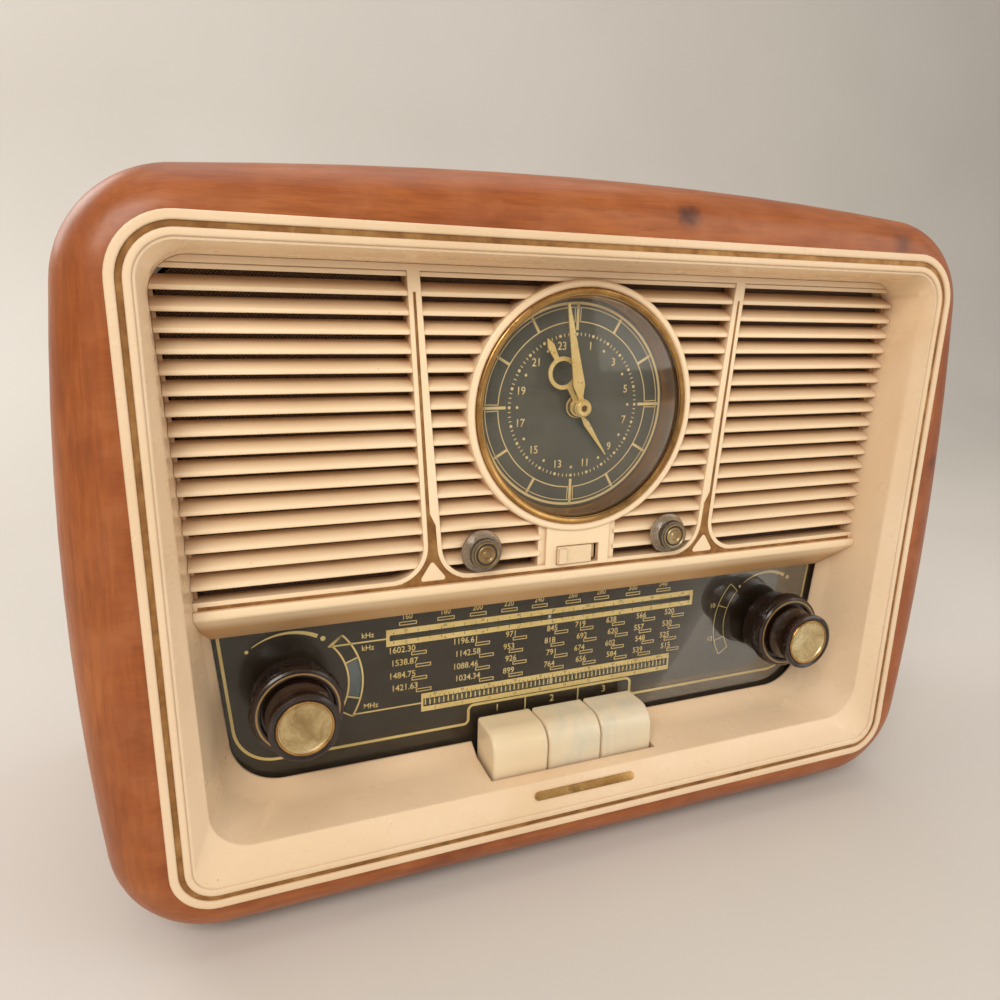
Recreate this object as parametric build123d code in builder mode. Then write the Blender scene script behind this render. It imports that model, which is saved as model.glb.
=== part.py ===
from build123d import *
import math
import os

os.makedirs("parts", exist_ok=True)

# Table-top valve clock radio.
# Millimetres. +X to the listener's right, +Y from the front to the back, +Z up.
# Origin on the floor under the middle of the set.
# "Depth" below always means the distance behind the front plane of the bezel,
# and a "place" is the (x, z) of a front-to-back axis.


def pair(x, z):
    """Two places mirrored about the middle of the set, left one first."""
    return (-x, z), (x, z)


# ---------------------------------------------------------------- driving dimensions
DEPTH_ALL = 210.0  # bezel lip to the far side of the mains lead
Y0 = -DEPTH_ALL / 2  # Y of depth 0
RUNNING = 0.06  # radial clearance of a shaft in its bearing

# cabinet
WOOD_FRONT = 1.6  # depth of the cabinet's front plane
CAB_BACK = 185.0  # depth of the cabinet's rear edge
CAB_EDGE_R = 17.0  # rounding of the cabinet's front edge
CAB_CORNER_R = 38.0  # corner radius of the cabinet outline
CAB_WALL = 9.0
CAB_TOP_Z = 270.1
FOOT_H = 5.0
REBATE_D = 180.0  # depth of the rebate that takes the back cover
REBATE_INSET = 5.0
COVER_GAP = 0.5
COVER_SCREWS = (*pair(158, 48), *pair(158, 222))

# front mask
BEZEL_TOP_Z, BEZEL_TOP_HALF = 250.0, 166.0
BEZEL_BOT_Z, BEZEL_BOT_HALF = 20.8, 159.3
BEAD_R = 0.6  # rounding of the two beads round the bezel
GROOVE_OUT, GROOVE_IN = 3.0, 4.9  # insets of the gold groove from the bezel's edge
INLAY_FIT = 0.05
MOUTH_D = 5.5  # depth where the bevel ends and the recess begins
TURN_D = 27.0  # depth where the recess wall turns inward round the dial
MASK_BACK = 33.5  # depth where the mask meets the dial glass
MASK_WALL = 2.5

# louvre panel
FACE_D = 19.6  # depth of the louvre panel's front face
PANEL_HALF = 157.0  # half the length of slats and ledge before trimming
SLAT_PITCH = 6.56
SLAT_COUNT = 17
SLAT_TOP_Z = 235.0
WINDOW_TOP_Z, WINDOW_BOT_Z = 236.0, 125.3
WINDOW_R = 12  # rounding of a window's corners beside the dividers
PANEL_SCREW_R = 1.1
PANEL_BOSSES = (  # x, z, radius
    (-68.85, 231.0, 2.1), (68.85, 231.0, 2.1), (-61.0, 127.6, 2.5), (61.0, 127.6, 2.5),
)

# cloth, baffle and loudspeaker
CLOTH_D = 27.05
BAFFLE_D0, BAFFLE_D1 = 27.8, 32.8
SPEAKER = (-98.0, 182.0)
SPEAKER_R = 48.0
SPEAKER_SCREW_CIRCLE_R, SPEAKER_SCREW_R = 45.8, 1.05

# clock
CLOCK_Z = 187.0
CLOCK = (0, CLOCK_Z)
CLOCK_RING_R = 48.4
CLOCK_HOLE_R = 45.6
DIAL_PLATE_D = 28.5
ARBOR_R = 0.90
HOUR_TUBE_R = 1.60
ALARM_TUBE_R = 2.30
SETTING_SHAFT_R = 1.5
ALARM_SET, TIME_SET = pair(41.9, 134.0)
SWITCH_Z = 128.7

# tuning dial and big knobs
KNOB_X, KNOB_Z = 112.5, 80.5
VOLUME, TUNING = pair(KNOB_X, KNOB_Z)
SHAFT_R, TUBE_R = 3.0, 4.9
GLASS_D0, GLASS_D1 = 33.75, 35.75
RAIL_D, RAIL_R = 40.0, 1.2
AM_RAIL_Z, FM_RAIL_Z = 109.0, 54.0
AM_POINTER_X, FM_POINTER_X = -2.0, 0.0
AM_SLOT_Z, FM_SLOT_Z = 96.1, 66.1
LAMPS = pair(88, 101)

# piano keys
KEY_W, KEY_GAP = 24.5, 0.35
KEY_EDGE_R = 1.4
KEY_WELL_D = 11.4  # front edge of the well the keys stand in
KEY_WELL_HALF = 38.4
KEY_PIVOT = (60.0, 34.0)  # depth, z
KEY_STEM_Z = 39.5
KEY_HUB_R, KEY_ROD_R = 4.2, 2.0
KEY_BRACKET_HALF = 41.4

# chassis and tuning gang
CHASSIS_D0, CHASSIS_D1 = 66.0, 168.0
CHASSIS_MID_D = (CHASSIS_D0 + CHASSIS_D1) / 2
CHASSIS_BOT_Z, CHASSIS_TOP_Z = 21.05, 56.0
STANDING_Z = CHASSIS_TOP_Z + 0.05  # underside of what stands on the chassis
DRUM_X, DRUM_Z, DRUM_R = 30.0, 97.0, 38.0
DRUM = (DRUM_X, DRUM_Z)


# ---------------------------------------------------------------- planes and helpers
def front(depth):
    """Plane facing the listener: local x = X, local y = Z. Negative extrusions go deeper."""
    return Plane(origin=(0, Y0 + depth, 0), x_dir=(1, 0, 0), z_dir=(0, -1, 0))


def side(x):
    """Plane facing +X at x: local x = depth, local y = Z."""
    return Plane(origin=(x, Y0, 0), x_dir=(0, 1, 0), z_dir=(1, 0, 0))


def level(z):
    """Plane facing up at z: local x = X, local y = depth."""
    return Plane(origin=(0, Y0, z), x_dir=(1, 0, 0), z_dir=(0, 0, 1))


def turning(x, z):
    """Plane through the front-to-back axis at (x, z): local x = radius, local y = depth."""
    return Plane(origin=(x, Y0, z), x_dir=(1, 0, 0), z_dir=(0, 0, 1))


def shaft_axis(x, z):
    return Axis((x, Y0, z), (0, 1, 0))


def save(name, builder):
    """Label a finished piece and write its STEP file."""
    part = builder.part
    part.label = name
    export_step(part, f"parts/{name}.step")


def save_turned(name, place, *profiles):
    """Write a piece turned about a place from closed profiles of (radius, depth)."""
    with BuildPart() as piece:
        for profile in profiles:
            with BuildSketch(turning(*place)):
                with BuildLine():
                    Polyline(*profile, close=True)
                make_face()
            revolve(axis=shaft_axis(*place))
    save(name, piece)


def trapezoid(top_half, top_z, bottom_half, bottom_z, top_radius, bottom_radius):
    """Upright trapezoid with rounded corners, symmetric about X = 0."""
    with BuildSketch() as shape:
        with BuildLine():
            Polyline(
                (-bottom_half, bottom_z), (bottom_half, bottom_z),
                (top_half, top_z), (-top_half, top_z), close=True,
            )
        make_face()
        fillet(shape.vertices().group_by(Axis.Y)[0], bottom_radius)
        fillet(shape.vertices().group_by(Axis.Y)[-1], top_radius)
    return shape.sketch


def dome(rim_radius, apex_depth, rim_depth):
    """Middle point of a spherical dome from the axis (0, apex_depth) to its rim."""
    rise = rim_depth - apex_depth
    sphere_r = (rim_radius * rim_radius + rise * rise) / (2 * abs(rise))
    half = math.asin(rim_radius / sphere_r) / 2
    sag = math.copysign(sphere_r * (1 - math.cos(half)), rise)
    return (sphere_r * math.sin(half), apex_depth + sag)


# ---------------------------------------------------------------- shared outlines
with BuildSketch() as cabinet_outline:
    with BuildLine():
        ThreePointArc((-176.6, 261.5), (0, CAB_TOP_Z), (176.6, 261.5))
        ThreePointArc((176.6, 261.5), (184, 144), (173.8, FOOT_H))
        Line((173.8, FOOT_H), (-173.8, FOOT_H))
        ThreePointArc((-173.8, FOOT_H), (-184, 144), (-176.6, 261.5))
    make_face()
    fillet(cabinet_outline.vertices(), radius=CAB_CORNER_R)
OUTLINE = cabinet_outline.sketch
OUTLINE_CAVITY = offset(OUTLINE, amount=-CAB_WALL)
OUTLINE_REBATE = offset(OUTLINE, amount=-REBATE_INSET)
OUTLINE_COVER = offset(OUTLINE, amount=-(REBATE_INSET + COVER_GAP))

# bezel and the outlines set in from its edge
BEZEL = trapezoid(BEZEL_TOP_HALF, BEZEL_TOP_Z, BEZEL_BOT_HALF, BEZEL_BOT_Z, 20, 16)
BEZEL_GROOVE_OUT = offset(BEZEL, amount=-GROOVE_OUT)
BEZEL_BODY = offset(BEZEL, amount=-3.4)
BEZEL_GROOVE_IN = offset(BEZEL, amount=-GROOVE_IN)
BEZEL_STEP = offset(BEZEL, amount=-7.4)
BEZEL_BEVEL = offset(BEZEL, amount=-8.4)
INLAY_OUT = offset(BEZEL, amount=-(GROOVE_OUT + INLAY_FIT))
INLAY_IN = offset(BEZEL, amount=-(GROOVE_IN - INLAY_FIT))

# recess: its mouth, the turn where its wall bends inward, and its throat at the glass
MOUTH = trapezoid(155, 240.0, 145.0, 39.0, 13, 15)
TURN = trapezoid(154.3, 237.6, 137.6, 41.9, 12, 18)
THROAT = trapezoid(154, 237.0, 133.5, 46.0, 12, 20)
MOUTH_OUT = offset(MOUTH, amount=MASK_WALL)
TURN_OUT = offset(TURN, amount=MASK_WALL)
THROAT_OUT = offset(THROAT, amount=MASK_WALL)
# the louvre panel clears the recess wall
MOUTH_IN = offset(MOUTH, amount=-0.1)
TURN_IN = offset(TURN, amount=-0.1)
THROAT_IN = offset(THROAT, amount=-0.1)


def side_window(sign, outer_top, outer_bottom, outer_radius=None):
    """Grille window left (sign -1) or right (sign 1) of the clock."""
    corners = [
        (sign * outer_top, WINDOW_TOP_Z), (sign * 71.5, WINDOW_TOP_Z),
        (sign * 63.9, WINDOW_BOT_Z), (sign * outer_bottom, WINDOW_BOT_Z),
    ]
    outward = Axis((0, 0, 0), (sign, 0, 0))
    with BuildSketch() as window:
        with BuildLine():
            # reversed for the right window, so that both run clockwise
            Polyline(*corners[::-sign], close=True)
        make_face()
        fillet(window.vertices().group_by(Axis.Y)[0].sort_by(outward)[0], WINDOW_R)
        if outer_radius:
            fillet(window.vertices().group_by(Axis.Y)[-1].sort_by(outward)[-1], outer_radius)
    return window.sketch


WINDOW_LEFT = side_window(-1, 152.6, 144.0, 7)
WINDOW_RIGHT = side_window(1, 152.6, 144.0, 7)
# the same windows run out past the panel's ends, for the front of the face plate
WINDOW_LEFT_FRONT = side_window(-1, 162, 162)
WINDOW_RIGHT_FRONT = side_window(1, 162, 162)
with BuildSketch() as middle_window:
    with BuildLine():
        Polyline(
            (-67.0, WINDOW_TOP_Z), (67.0, WINDOW_TOP_Z),
            (56.6, WINDOW_BOT_Z), (-56.6, WINDOW_BOT_Z), close=True,
        )
    make_face()
    fillet(middle_window.vertices().group_by(Axis.Y)[0], WINDOW_R)
WINDOW_MID = middle_window.sketch
# plain band kept round each window
BAND_LEFT = offset(WINDOW_LEFT, amount=1.7)
BAND_RIGHT = offset(WINDOW_RIGHT, amount=1.7)
BAND_MID = offset(WINDOW_MID, amount=1.7)
# the slats run a little into the face plate
SEAT_LEFT = offset(WINDOW_LEFT_FRONT, amount=0.5)
SEAT_RIGHT = offset(WINDOW_RIGHT_FRONT, amount=0.5)
SEAT_MID = offset(WINDOW_MID, amount=0.5)


def triangle(sign):
    """Rounded triangle left clear in the gold at the foot of a divider."""
    with BuildSketch() as shape:
        with BuildLine():
            Polyline(
                (sign * 60.8 - 5.6, 124.0), (sign * 60.8 + 5.6, 124.0), (sign * 61.4, 131.8),
                close=True,
            )
        make_face()
        fillet(shape.vertices(), 0.9)
    return shape.sketch


TRIANGLE_LEFT, TRIANGLE_RIGHT = triangle(-1), triangle(1)

# gold line area: the strip below the windows and the wedge up each divider
with BuildSketch() as gold_area:
    with BuildLine():
        Polyline(
            (-144.6, 122.3), (144.6, 122.3), (144.6, 123.9), (-144.6, 123.9), close=True
        )
    make_face()
    for sign in (-1, 1):
        with BuildLine():
            Polyline(
                (sign * 73.5, 122.3), (sign * 48.5, 122.3), (sign * 62.5, 150.0),
                (sign * 68.3, 229.0), (sign * 70.2, 229.0), (sign * 66.5, 150.0), close=True,
            )
        make_face()
    add(BAND_LEFT, mode=Mode.SUBTRACT)
    add(BAND_RIGHT, mode=Mode.SUBTRACT)
    add(BAND_MID, mode=Mode.SUBTRACT)
    add(TRIANGLE_LEFT, mode=Mode.SUBTRACT)
    add(TRIANGLE_RIGHT, mode=Mode.SUBTRACT)
GOLD = gold_area.sketch
GOLD_INLAY = offset(GOLD, amount=-0.04)

# ---------------------------------------------------------------- cabinet
with BuildPart() as cabinet_shell:
    with BuildSketch(front(WOOD_FRONT)):
        add(OUTLINE)
    extrude(amount=-(CAB_BACK - WOOD_FRONT))
    fillet(cabinet_shell.faces().sort_by(Axis.Y)[0].edges(), CAB_EDGE_R)
    fillet(cabinet_shell.faces().sort_by(Axis.Y)[-1].edges(), 1.2)
    with BuildSketch(front(14.0)):
        add(OUTLINE_CAVITY)
    extrude(amount=-180, mode=Mode.SUBTRACT)
    with BuildSketch(front(REBATE_D)):
        add(OUTLINE_REBATE)
    extrude(amount=-10, mode=Mode.SUBTRACT)
    # opening for the front mask
    with BuildSketch(front(0)):
        add(BEZEL_GROOVE_OUT)
    extrude(amount=-20, mode=Mode.SUBTRACT)
    # blocks that take the back-cover screws
    with BuildSketch(front(160.0)):
        with Locations(*pair(163, 48), *pair(163, 222)):
            Rectangle(21, 18)
    extrude(amount=-20)
    # chassis rails on the floor
    with BuildSketch(front(60.0)):
        with Locations(*pair(118, 16.5)):
            Rectangle(14, 9)
    extrude(amount=-114)
    # pilot holes in the blocks
    with BuildSketch(front(REBATE_D)):
        with Locations(*COVER_SCREWS):
            Circle(1.6)
    extrude(amount=13, mode=Mode.SUBTRACT)
save("cabinet_shell", cabinet_shell)

with BuildPart() as cabinet_feet:
    with BuildSketch(level(0)):
        with Locations(*pair(135, 40), *pair(135, 162)):
            Circle(12)
    extrude(amount=FOOT_H)
    fillet(cabinet_feet.faces().filter_by(Axis.Z).group_by(Axis.Z)[0].edges(), 1.5)
save("cabinet_feet", cabinet_feet)

# ---------------------------------------------------------------- rear cover
with BuildPart() as back_cover:
    with BuildSketch(front(REBATE_D + 0.2)):
        add(OUTLINE_COVER)
    extrude(amount=-3.0)
    with BuildSketch(front(175)):
        # upper and lower fields of slots
        with Locations((0, 178)):
            with GridLocations(31, 13, 9, 8):
                SlotOverall(24, 4.6)
        with Locations((0, 62)):
            with GridLocations(31, 11, 7, 3):
                SlotOverall(24, 4.0)
        # mains lead
        with Locations((-120, 36)):
            Circle(5.2)
        # rear sockets of the chassis
        with Locations((118, 45)):
            Rectangle(44, 18)
        with Locations(*COVER_SCREWS):
            Circle(1.9)
    extrude(amount=-12, mode=Mode.SUBTRACT)
save("back_cover", back_cover)

with BuildPart() as back_cover_screws:
    for x, z in COVER_SCREWS:
        with BuildSketch(turning(x, z)):
            with BuildLine():
                Polyline(
                    (0, 169), (1.5, 170.5), (1.5, 183.25), (3.6, 183.25), (3.4, 184.6),
                    (2.2, 185.4), (0, 185.6), close=True,
                )
            make_face()
        revolve(axis=shaft_axis(x, z))
        # screwdriver slot
        with BuildSketch(front(184.4)):
            with Locations((x, z)):
                Rectangle(5.0, 0.8)
        extrude(amount=-2, mode=Mode.SUBTRACT)
save("back_cover_screws", back_cover_screws)

# ---------------------------------------------------------------- cream front mask
with BuildPart() as front_mask:
    with BuildSketch(front(0)):
        add(BEZEL)
    extrude(amount=-1.55)
    with BuildSketch(front(1.5)):
        add(BEZEL_BODY)
    extrude(amount=-6.7)
    # outside of the recess wall
    with BuildSketch(front(6.0)):
        add(MOUTH_OUT)
    with BuildSketch(front(TURN_D)):
        add(TURN_OUT)
    loft()
    with BuildSketch(front(TURN_D)):
        add(TURN_OUT)
    with BuildSketch(front(MASK_BACK)):
        add(THROAT_OUT)
    loft()
    # groove for the gold line
    with BuildSketch(front(-0.5)):
        add(BEZEL_GROOVE_OUT)
        add(BEZEL_GROOVE_IN, mode=Mode.SUBTRACT)
    extrude(amount=-1.6, mode=Mode.SUBTRACT)
    # step inside the second bead
    with BuildSketch(front(-0.5)):
        add(BEZEL_STEP)
    extrude(amount=-1.2, mode=Mode.SUBTRACT)
    # bevel from the bead down to the mouth
    with BuildSketch(front(0.7)):
        add(BEZEL_BEVEL)
    with BuildSketch(front(MOUTH_D)):
        add(MOUTH)
    loft(mode=Mode.SUBTRACT)
    # recess
    with BuildSketch(front(MOUTH_D)):
        add(MOUTH)
    with BuildSketch(front(TURN_D)):
        add(TURN)
    loft(mode=Mode.SUBTRACT)
    with BuildSketch(front(TURN_D)):
        add(TURN)
    with BuildSketch(front(MASK_BACK)):
        add(THROAT)
    loft(mode=Mode.SUBTRACT)
    # well for the three keys in the shelf
    with BuildSketch(side(-KEY_WELL_HALF)):
        with BuildLine():
            Polyline(
                (KEY_WELL_D, 30), (MASK_BACK + 2, 30), (MASK_BACK + 2, 60), (KEY_WELL_D, 60),
                close=True,
            )
        make_face()
    extrude(amount=2 * KEY_WELL_HALF, mode=Mode.SUBTRACT)
    # soften both beads
    fillet(front_mask.faces().filter_by(GeomType.PLANE).group_by(Axis.Y)[0].edges(), BEAD_R)
save("front_mask", front_mask)

with BuildPart() as bezel_gold_inlay:
    with BuildSketch(front(0.75)):
        add(INLAY_OUT)
        add(INLAY_IN, mode=Mode.SUBTRACT)
    extrude(amount=-0.34)
save("bezel_gold_inlay", bezel_gold_inlay)

# ---------------------------------------------------------------- louvre panel
# room inside the mask that the panel is trimmed to
with BuildPart() as panel_space:
    with BuildSketch(front(MOUTH_D)):
        add(MOUTH_IN)
    with BuildSketch(front(TURN_D)):
        add(TURN_IN)
    loft()
    with BuildSketch(front(TURN_D)):
        add(TURN_IN)
    with BuildSketch(front(MASK_BACK)):
        add(THROAT_IN)
    loft()

# full-width slats, each leaning up toward the back
with BuildPart() as slat_stack:
    for i in range(SLAT_COUNT):
        z = SLAT_TOP_Z - i * SLAT_PITCH
        with BuildSketch(side(-PANEL_HALF)):
            with BuildLine():
                Polyline(
                    (20.0, z - 0.6), (20.25, z - 0.85), (25.2, z + 2.3), (25.2, z + 4.0),
                    (20.25, z + 0.9), (20.0, z + 0.65), close=True,
                )
            make_face()
        extrude(amount=2 * PANEL_HALF)

# the part of the windows that the slats fill, clear of the clock and its switch
with BuildPart() as window_block:
    with BuildSketch(front(FACE_D + 0.2)):
        add(SEAT_LEFT)
        add(SEAT_RIGHT)
        add(SEAT_MID)
    extrude(amount=-7.2)
    with BuildSketch(front(19)):
        with Locations(CLOCK):
            Circle(CLOCK_RING_R - 0.6)
    extrude(amount=-12, mode=Mode.SUBTRACT)
    with BuildSketch(front(19)):
        with Locations((0, 132)):
            Rectangle(33, 17)
    extrude(amount=-12, mode=Mode.SUBTRACT)

with BuildPart() as louvre_grille:
    # face plate with three windows
    with BuildSketch(front(FACE_D)):
        with Locations((0, 180.5)):
            Rectangle(330, 117)
        add(WINDOW_LEFT, mode=Mode.SUBTRACT)
        add(WINDOW_RIGHT, mode=Mode.SUBTRACT)
        add(WINDOW_MID, mode=Mode.SUBTRACT)
    extrude(amount=-7.4)
    with BuildSketch(front(FACE_D - 0.5)):
        add(WINDOW_LEFT_FRONT)
        add(WINDOW_RIGHT_FRONT)
    extrude(amount=-5.2, mode=Mode.SUBTRACT)
    # ledge above the dial
    with BuildSketch(side(-PANEL_HALF)):
        with BuildLine():
            Polyline(
                (18.2, 122.3), (17.7, 121.8), (17.6, 120.0), (17.9, 119.2), (18.6, 118.5),
                (33.0, 106.3), (33.3, 106.3), (33.3, 122.3), close=True,
            )
        make_face()
    extrude(amount=2 * PANEL_HALF)
    add(slat_stack.part & window_block.part)
    add(panel_space.part, mode=Mode.INTERSECT)
    # clock ring
    with BuildSketch(turning(*CLOCK)):
        with BuildLine():
            Polyline(
                (CLOCK_HOLE_R, 18.9), (46.3, 18.4), (47.7, 18.4), (CLOCK_RING_R, 19.0),
                (49.2, 27.0), (CLOCK_HOLE_R, 27.0), close=True,
            )
        make_face()
    revolve(axis=shaft_axis(*CLOCK))
    # switch plate under the clock, and the walls beside it
    with BuildSketch(front(19.5)):
        with Locations((0, 132.5)):
            Rectangle(28.4, 17.5)
    extrude(amount=-2.4)
    with BuildSketch(front(20.6)):
        with Locations(*pair(15.6, 133.9)):
            Rectangle(3.2, 17.8)
    extrude(amount=-6.4)
    # clock hole and switch opening
    with BuildSketch(front(18)):
        with Locations(CLOCK):
            Circle(CLOCK_HOLE_R)
    extrude(amount=-12, mode=Mode.SUBTRACT)
    with BuildSketch(front(19)):
        with Locations((0, SWITCH_Z)):
            Rectangle(19.0, 7.8)
    extrude(amount=-6, mode=Mode.SUBTRACT)
    # bosses for the clock-setting shafts
    with BuildSketch(front(20.8)):
        with Locations(ALARM_SET, TIME_SET):
            Circle(4.6)
    extrude(amount=-6.2)
    with BuildSketch(front(19)):
        with Locations(ALARM_SET, TIME_SET):
            Circle(SETTING_SHAFT_R + RUNNING)
    extrude(amount=-12, mode=Mode.SUBTRACT)
    # channel for the gold lines
    with BuildSketch(front(FACE_D - 0.1)):
        add(GOLD)
    extrude(amount=-0.7, mode=Mode.SUBTRACT)
    # rear bosses that take the baffle screws
    with BuildSketch(front(26.9)):
        for x, z, boss_r in PANEL_BOSSES:
            with Locations((x, z)):
                Circle(boss_r)
    extrude(amount=-0.85)
    with BuildSketch(front(22.6)):
        for x, z, _ in PANEL_BOSSES:
            with Locations((x, z)):
                Circle(PANEL_SCREW_R)
    extrude(amount=-8, mode=Mode.SUBTRACT)
save("louvre_grille", louvre_grille)

with BuildPart() as grille_gold_inlay:
    with BuildSketch(front(FACE_D + 0.22)):
        add(GOLD_INLAY)
    extrude(amount=-0.36)
save("grille_gold_inlay", grille_gold_inlay)

# ---------------------------------------------------------------- plain bar on the apron
# it lies on the slope of the lower bevel, facing forward and up
with BuildPart() as apron_bar:
    with BuildSketch(
        Plane(origin=(0, Y0 + 3.06, 34.12), x_dir=(1, 0, 0), z_dir=(0, -0.8981, 0.4399))
    ):
        SlotOverall(46, 3.4)
    extrude(amount=0.55)
    fillet(apron_bar.faces().sort_by(Axis.Y)[0].edges(), 0.2)
save("apron_bar", apron_bar)

# ---------------------------------------------------------------- cloth and baffle
SHEET_TOP_R = 11  # top corners of cloth and baffle

with BuildPart() as speaker_cloth:
    with BuildSketch(front(CLOTH_D)):
        with BuildLine():
            Polyline((-152.4, 236), (152.4, 236), (141.8, 122.6), (-141.8, 122.6), close=True)
        make_face()
        with Locations(CLOCK):
            Circle(47.6, mode=Mode.SUBTRACT)
        with Locations(ALARM_SET, TIME_SET):
            Circle(2.6, mode=Mode.SUBTRACT)
        with Locations((0, 131)):
            Rectangle(36, 24, mode=Mode.SUBTRACT)
        for x, z, boss_r in PANEL_BOSSES:
            with Locations((x, z)):
                Circle(boss_r + 0.4, mode=Mode.SUBTRACT)
    extrude(amount=-0.65)
    fillet(speaker_cloth.edges().filter_by(Axis.Y).group_by(Axis.Z)[-1], SHEET_TOP_R)
save("speaker_cloth", speaker_cloth)

with BuildPart() as baffle_board:
    with BuildSketch(front(BAFFLE_D0)):
        with BuildLine():
            Polyline((-152.2, 236), (152.2, 236), (141.0, 122.7), (-141.0, 122.7), close=True)
        make_face()
        with Locations(CLOCK):
            Circle(47.0, mode=Mode.SUBTRACT)
        with Locations(SPEAKER):
            Circle(41.0, mode=Mode.SUBTRACT)
        with Locations(ALARM_SET, TIME_SET):
            Circle(3.0, mode=Mode.SUBTRACT)
        with Locations((0, 131)):
            Rectangle(36, 24, mode=Mode.SUBTRACT)
        # field of holes on the right, mirroring the loudspeaker
        with Locations((98, 182)):
            with GridLocations(13, 13, 5, 5):
                Circle(4.2, mode=Mode.SUBTRACT)
        for x, z, _ in PANEL_BOSSES:
            with Locations((x, z)):
                Circle(1.4, mode=Mode.SUBTRACT)
    extrude(amount=-(BAFFLE_D1 - BAFFLE_D0))
    fillet(baffle_board.edges().filter_by(Axis.Y).group_by(Axis.Z)[-1], SHEET_TOP_R)
    # pilot holes for the loudspeaker screws
    with BuildSketch(front(BAFFLE_D1)):
        with Locations(SPEAKER):
            with PolarLocations(SPEAKER_SCREW_CIRCLE_R, 4, start_angle=45):
                Circle(SPEAKER_SCREW_R)
    extrude(amount=4.2, mode=Mode.SUBTRACT)
save("baffle_board", baffle_board)

PANEL_SCREW_PLACES = [(x, z) for x, z, _ in PANEL_BOSSES]
PANEL_SCREW = [  # radius, depth
    (0, 23.0), (PANEL_SCREW_R, 24.2), (PANEL_SCREW_R, BAFFLE_D1 + 0.05),
    (2.3, BAFFLE_D1 + 0.05), (2.1, BAFFLE_D1 + 1.1), (1.3, BAFFLE_D1 + 1.6),
    (0, BAFFLE_D1 + 1.7),
]
SPEAKER_SCREW_PLACES = [
    (
        SPEAKER[0] + SPEAKER_SCREW_CIRCLE_R * math.cos(math.radians(angle)),
        SPEAKER[1] + SPEAKER_SCREW_CIRCLE_R * math.sin(math.radians(angle)),
    )
    for angle in (45, 135, 225, 315)
]
SPEAKER_SCREW = [  # radius, depth
    (0, 29.0), (SPEAKER_SCREW_R, 30.0), (SPEAKER_SCREW_R, 34.15), (1.85, 34.15),
    (1.8, 35.2), (1.2, 35.7), (0, 35.8),
]
with BuildPart() as baffle_screws:
    for places, profile, slot_d in (
        (PANEL_SCREW_PLACES, PANEL_SCREW, BAFFLE_D1 + 1.0),
        (SPEAKER_SCREW_PLACES, SPEAKER_SCREW, 35.1),
    ):
        for x, z in places:
            with BuildSketch(turning(x, z)):
                with BuildLine():
                    Polyline(*profile, close=True)
                make_face()
            revolve(axis=shaft_axis(x, z))
            # screwdriver slot
            with BuildSketch(front(slot_d)):
                with Locations((x, z)):
                    Rectangle(3.4, 0.6)
            extrude(amount=-2, mode=Mode.SUBTRACT)
save("baffle_screws", baffle_screws)

# ---------------------------------------------------------------- loudspeaker
with BuildPart() as speaker_basket:
    with BuildSketch(turning(*SPEAKER)):
        with BuildLine():
            Polyline(
                (42.8, 32.9), (SPEAKER_R, 32.9), (SPEAKER_R, 34.1), (43.8, 34.1), (27.6, 55.6),
                (25.0, 58.8), (25.0, 60.0), (12.6, 60.0), (12.6, 58.8), (23.6, 58.8),
                (26.2, 55.2), (42.8, 33.7), close=True,
            )
        make_face()
    revolve(axis=shaft_axis(*SPEAKER))
    # openings between the spokes
    with BuildSketch(front(36.5)):
        with Locations(SPEAKER):
            Circle(60)
            Circle(25.6, mode=Mode.SUBTRACT)
            Rectangle(130, 13, mode=Mode.SUBTRACT)
            Rectangle(13, 130, mode=Mode.SUBTRACT)
    extrude(amount=-17.5, mode=Mode.SUBTRACT)
    # screw holes in the rim
    with BuildSketch(front(30)):
        with Locations(SPEAKER):
            with PolarLocations(SPEAKER_SCREW_CIRCLE_R, 4, start_angle=45):
                Circle(1.5)
    extrude(amount=-6, mode=Mode.SUBTRACT)
save("speaker_basket", speaker_basket)

# pole piece, ring gap and outer pot
save_turned("speaker_magnet", SPEAKER, [
    (0, 59.2), (9.3, 59.2), (9.6, 59.6), (9.6, 74.0), (17.0, 74.0), (17.0, 63.4),
    (11.5, 63.4), (11.5, 60.05), (24.0, 60.05), (24.5, 60.6), (24.5, 77.2), (23.6, 78.2),
    (0, 78.2),
])

EDGE_ROLL = [  # radius, depth
    (36.9, 33.4), (37.6, 32.9), (39.2, 32.9), (40.2, 33.5), (42.65, 33.1), (42.65, 33.6),
    (40.0, 34.0), (38.8, 33.4), (37.9, 33.4), (36.9, 33.9),
]
CENTRING_DISC = [  # radius, depth
    (11.6, 56.3), (13.0, 55.6), (14.4, 56.7), (15.8, 55.6), (17.2, 56.7), (18.6, 55.6),
    (20.0, 56.7), (21.6, 56.6), (22.2, 57.6), (22.2, 58.75), (21.0, 58.75), (21.0, 57.3),
    (19.8, 57.3), (18.6, 56.2), (17.2, 57.3), (15.8, 56.2), (14.4, 57.3), (13.0, 56.2),
    (11.6, 56.9),
]
save_turned("speaker_suspension", SPEAKER, EDGE_ROLL, CENTRING_DISC)

# cone with its dust dome and neck
save_turned("speaker_cone", SPEAKER, [
    (0, 48.4), (3.2, 48.6), (6.4, 49.2), (9.6, 50.1), (12.6, 50.9), (35.2, 33.0),
    (36.4, 33.0), (36.4, 33.9), (12.0, 53.0), (10.95, 54.4), (10.95, 55.2), (10.5, 55.2),
    (10.5, 52.4), (10.2, 51.0), (9.4, 50.7), (6.3, 49.8), (3.1, 49.2), (0, 49.0),
])

save_turned("speaker_voice_coil", SPEAKER, [
    (10.2, 53.2), (10.45, 53.2), (10.45, 58.9), (10.9, 59.1), (10.9, 64.6), (10.2, 64.6),
])

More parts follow.
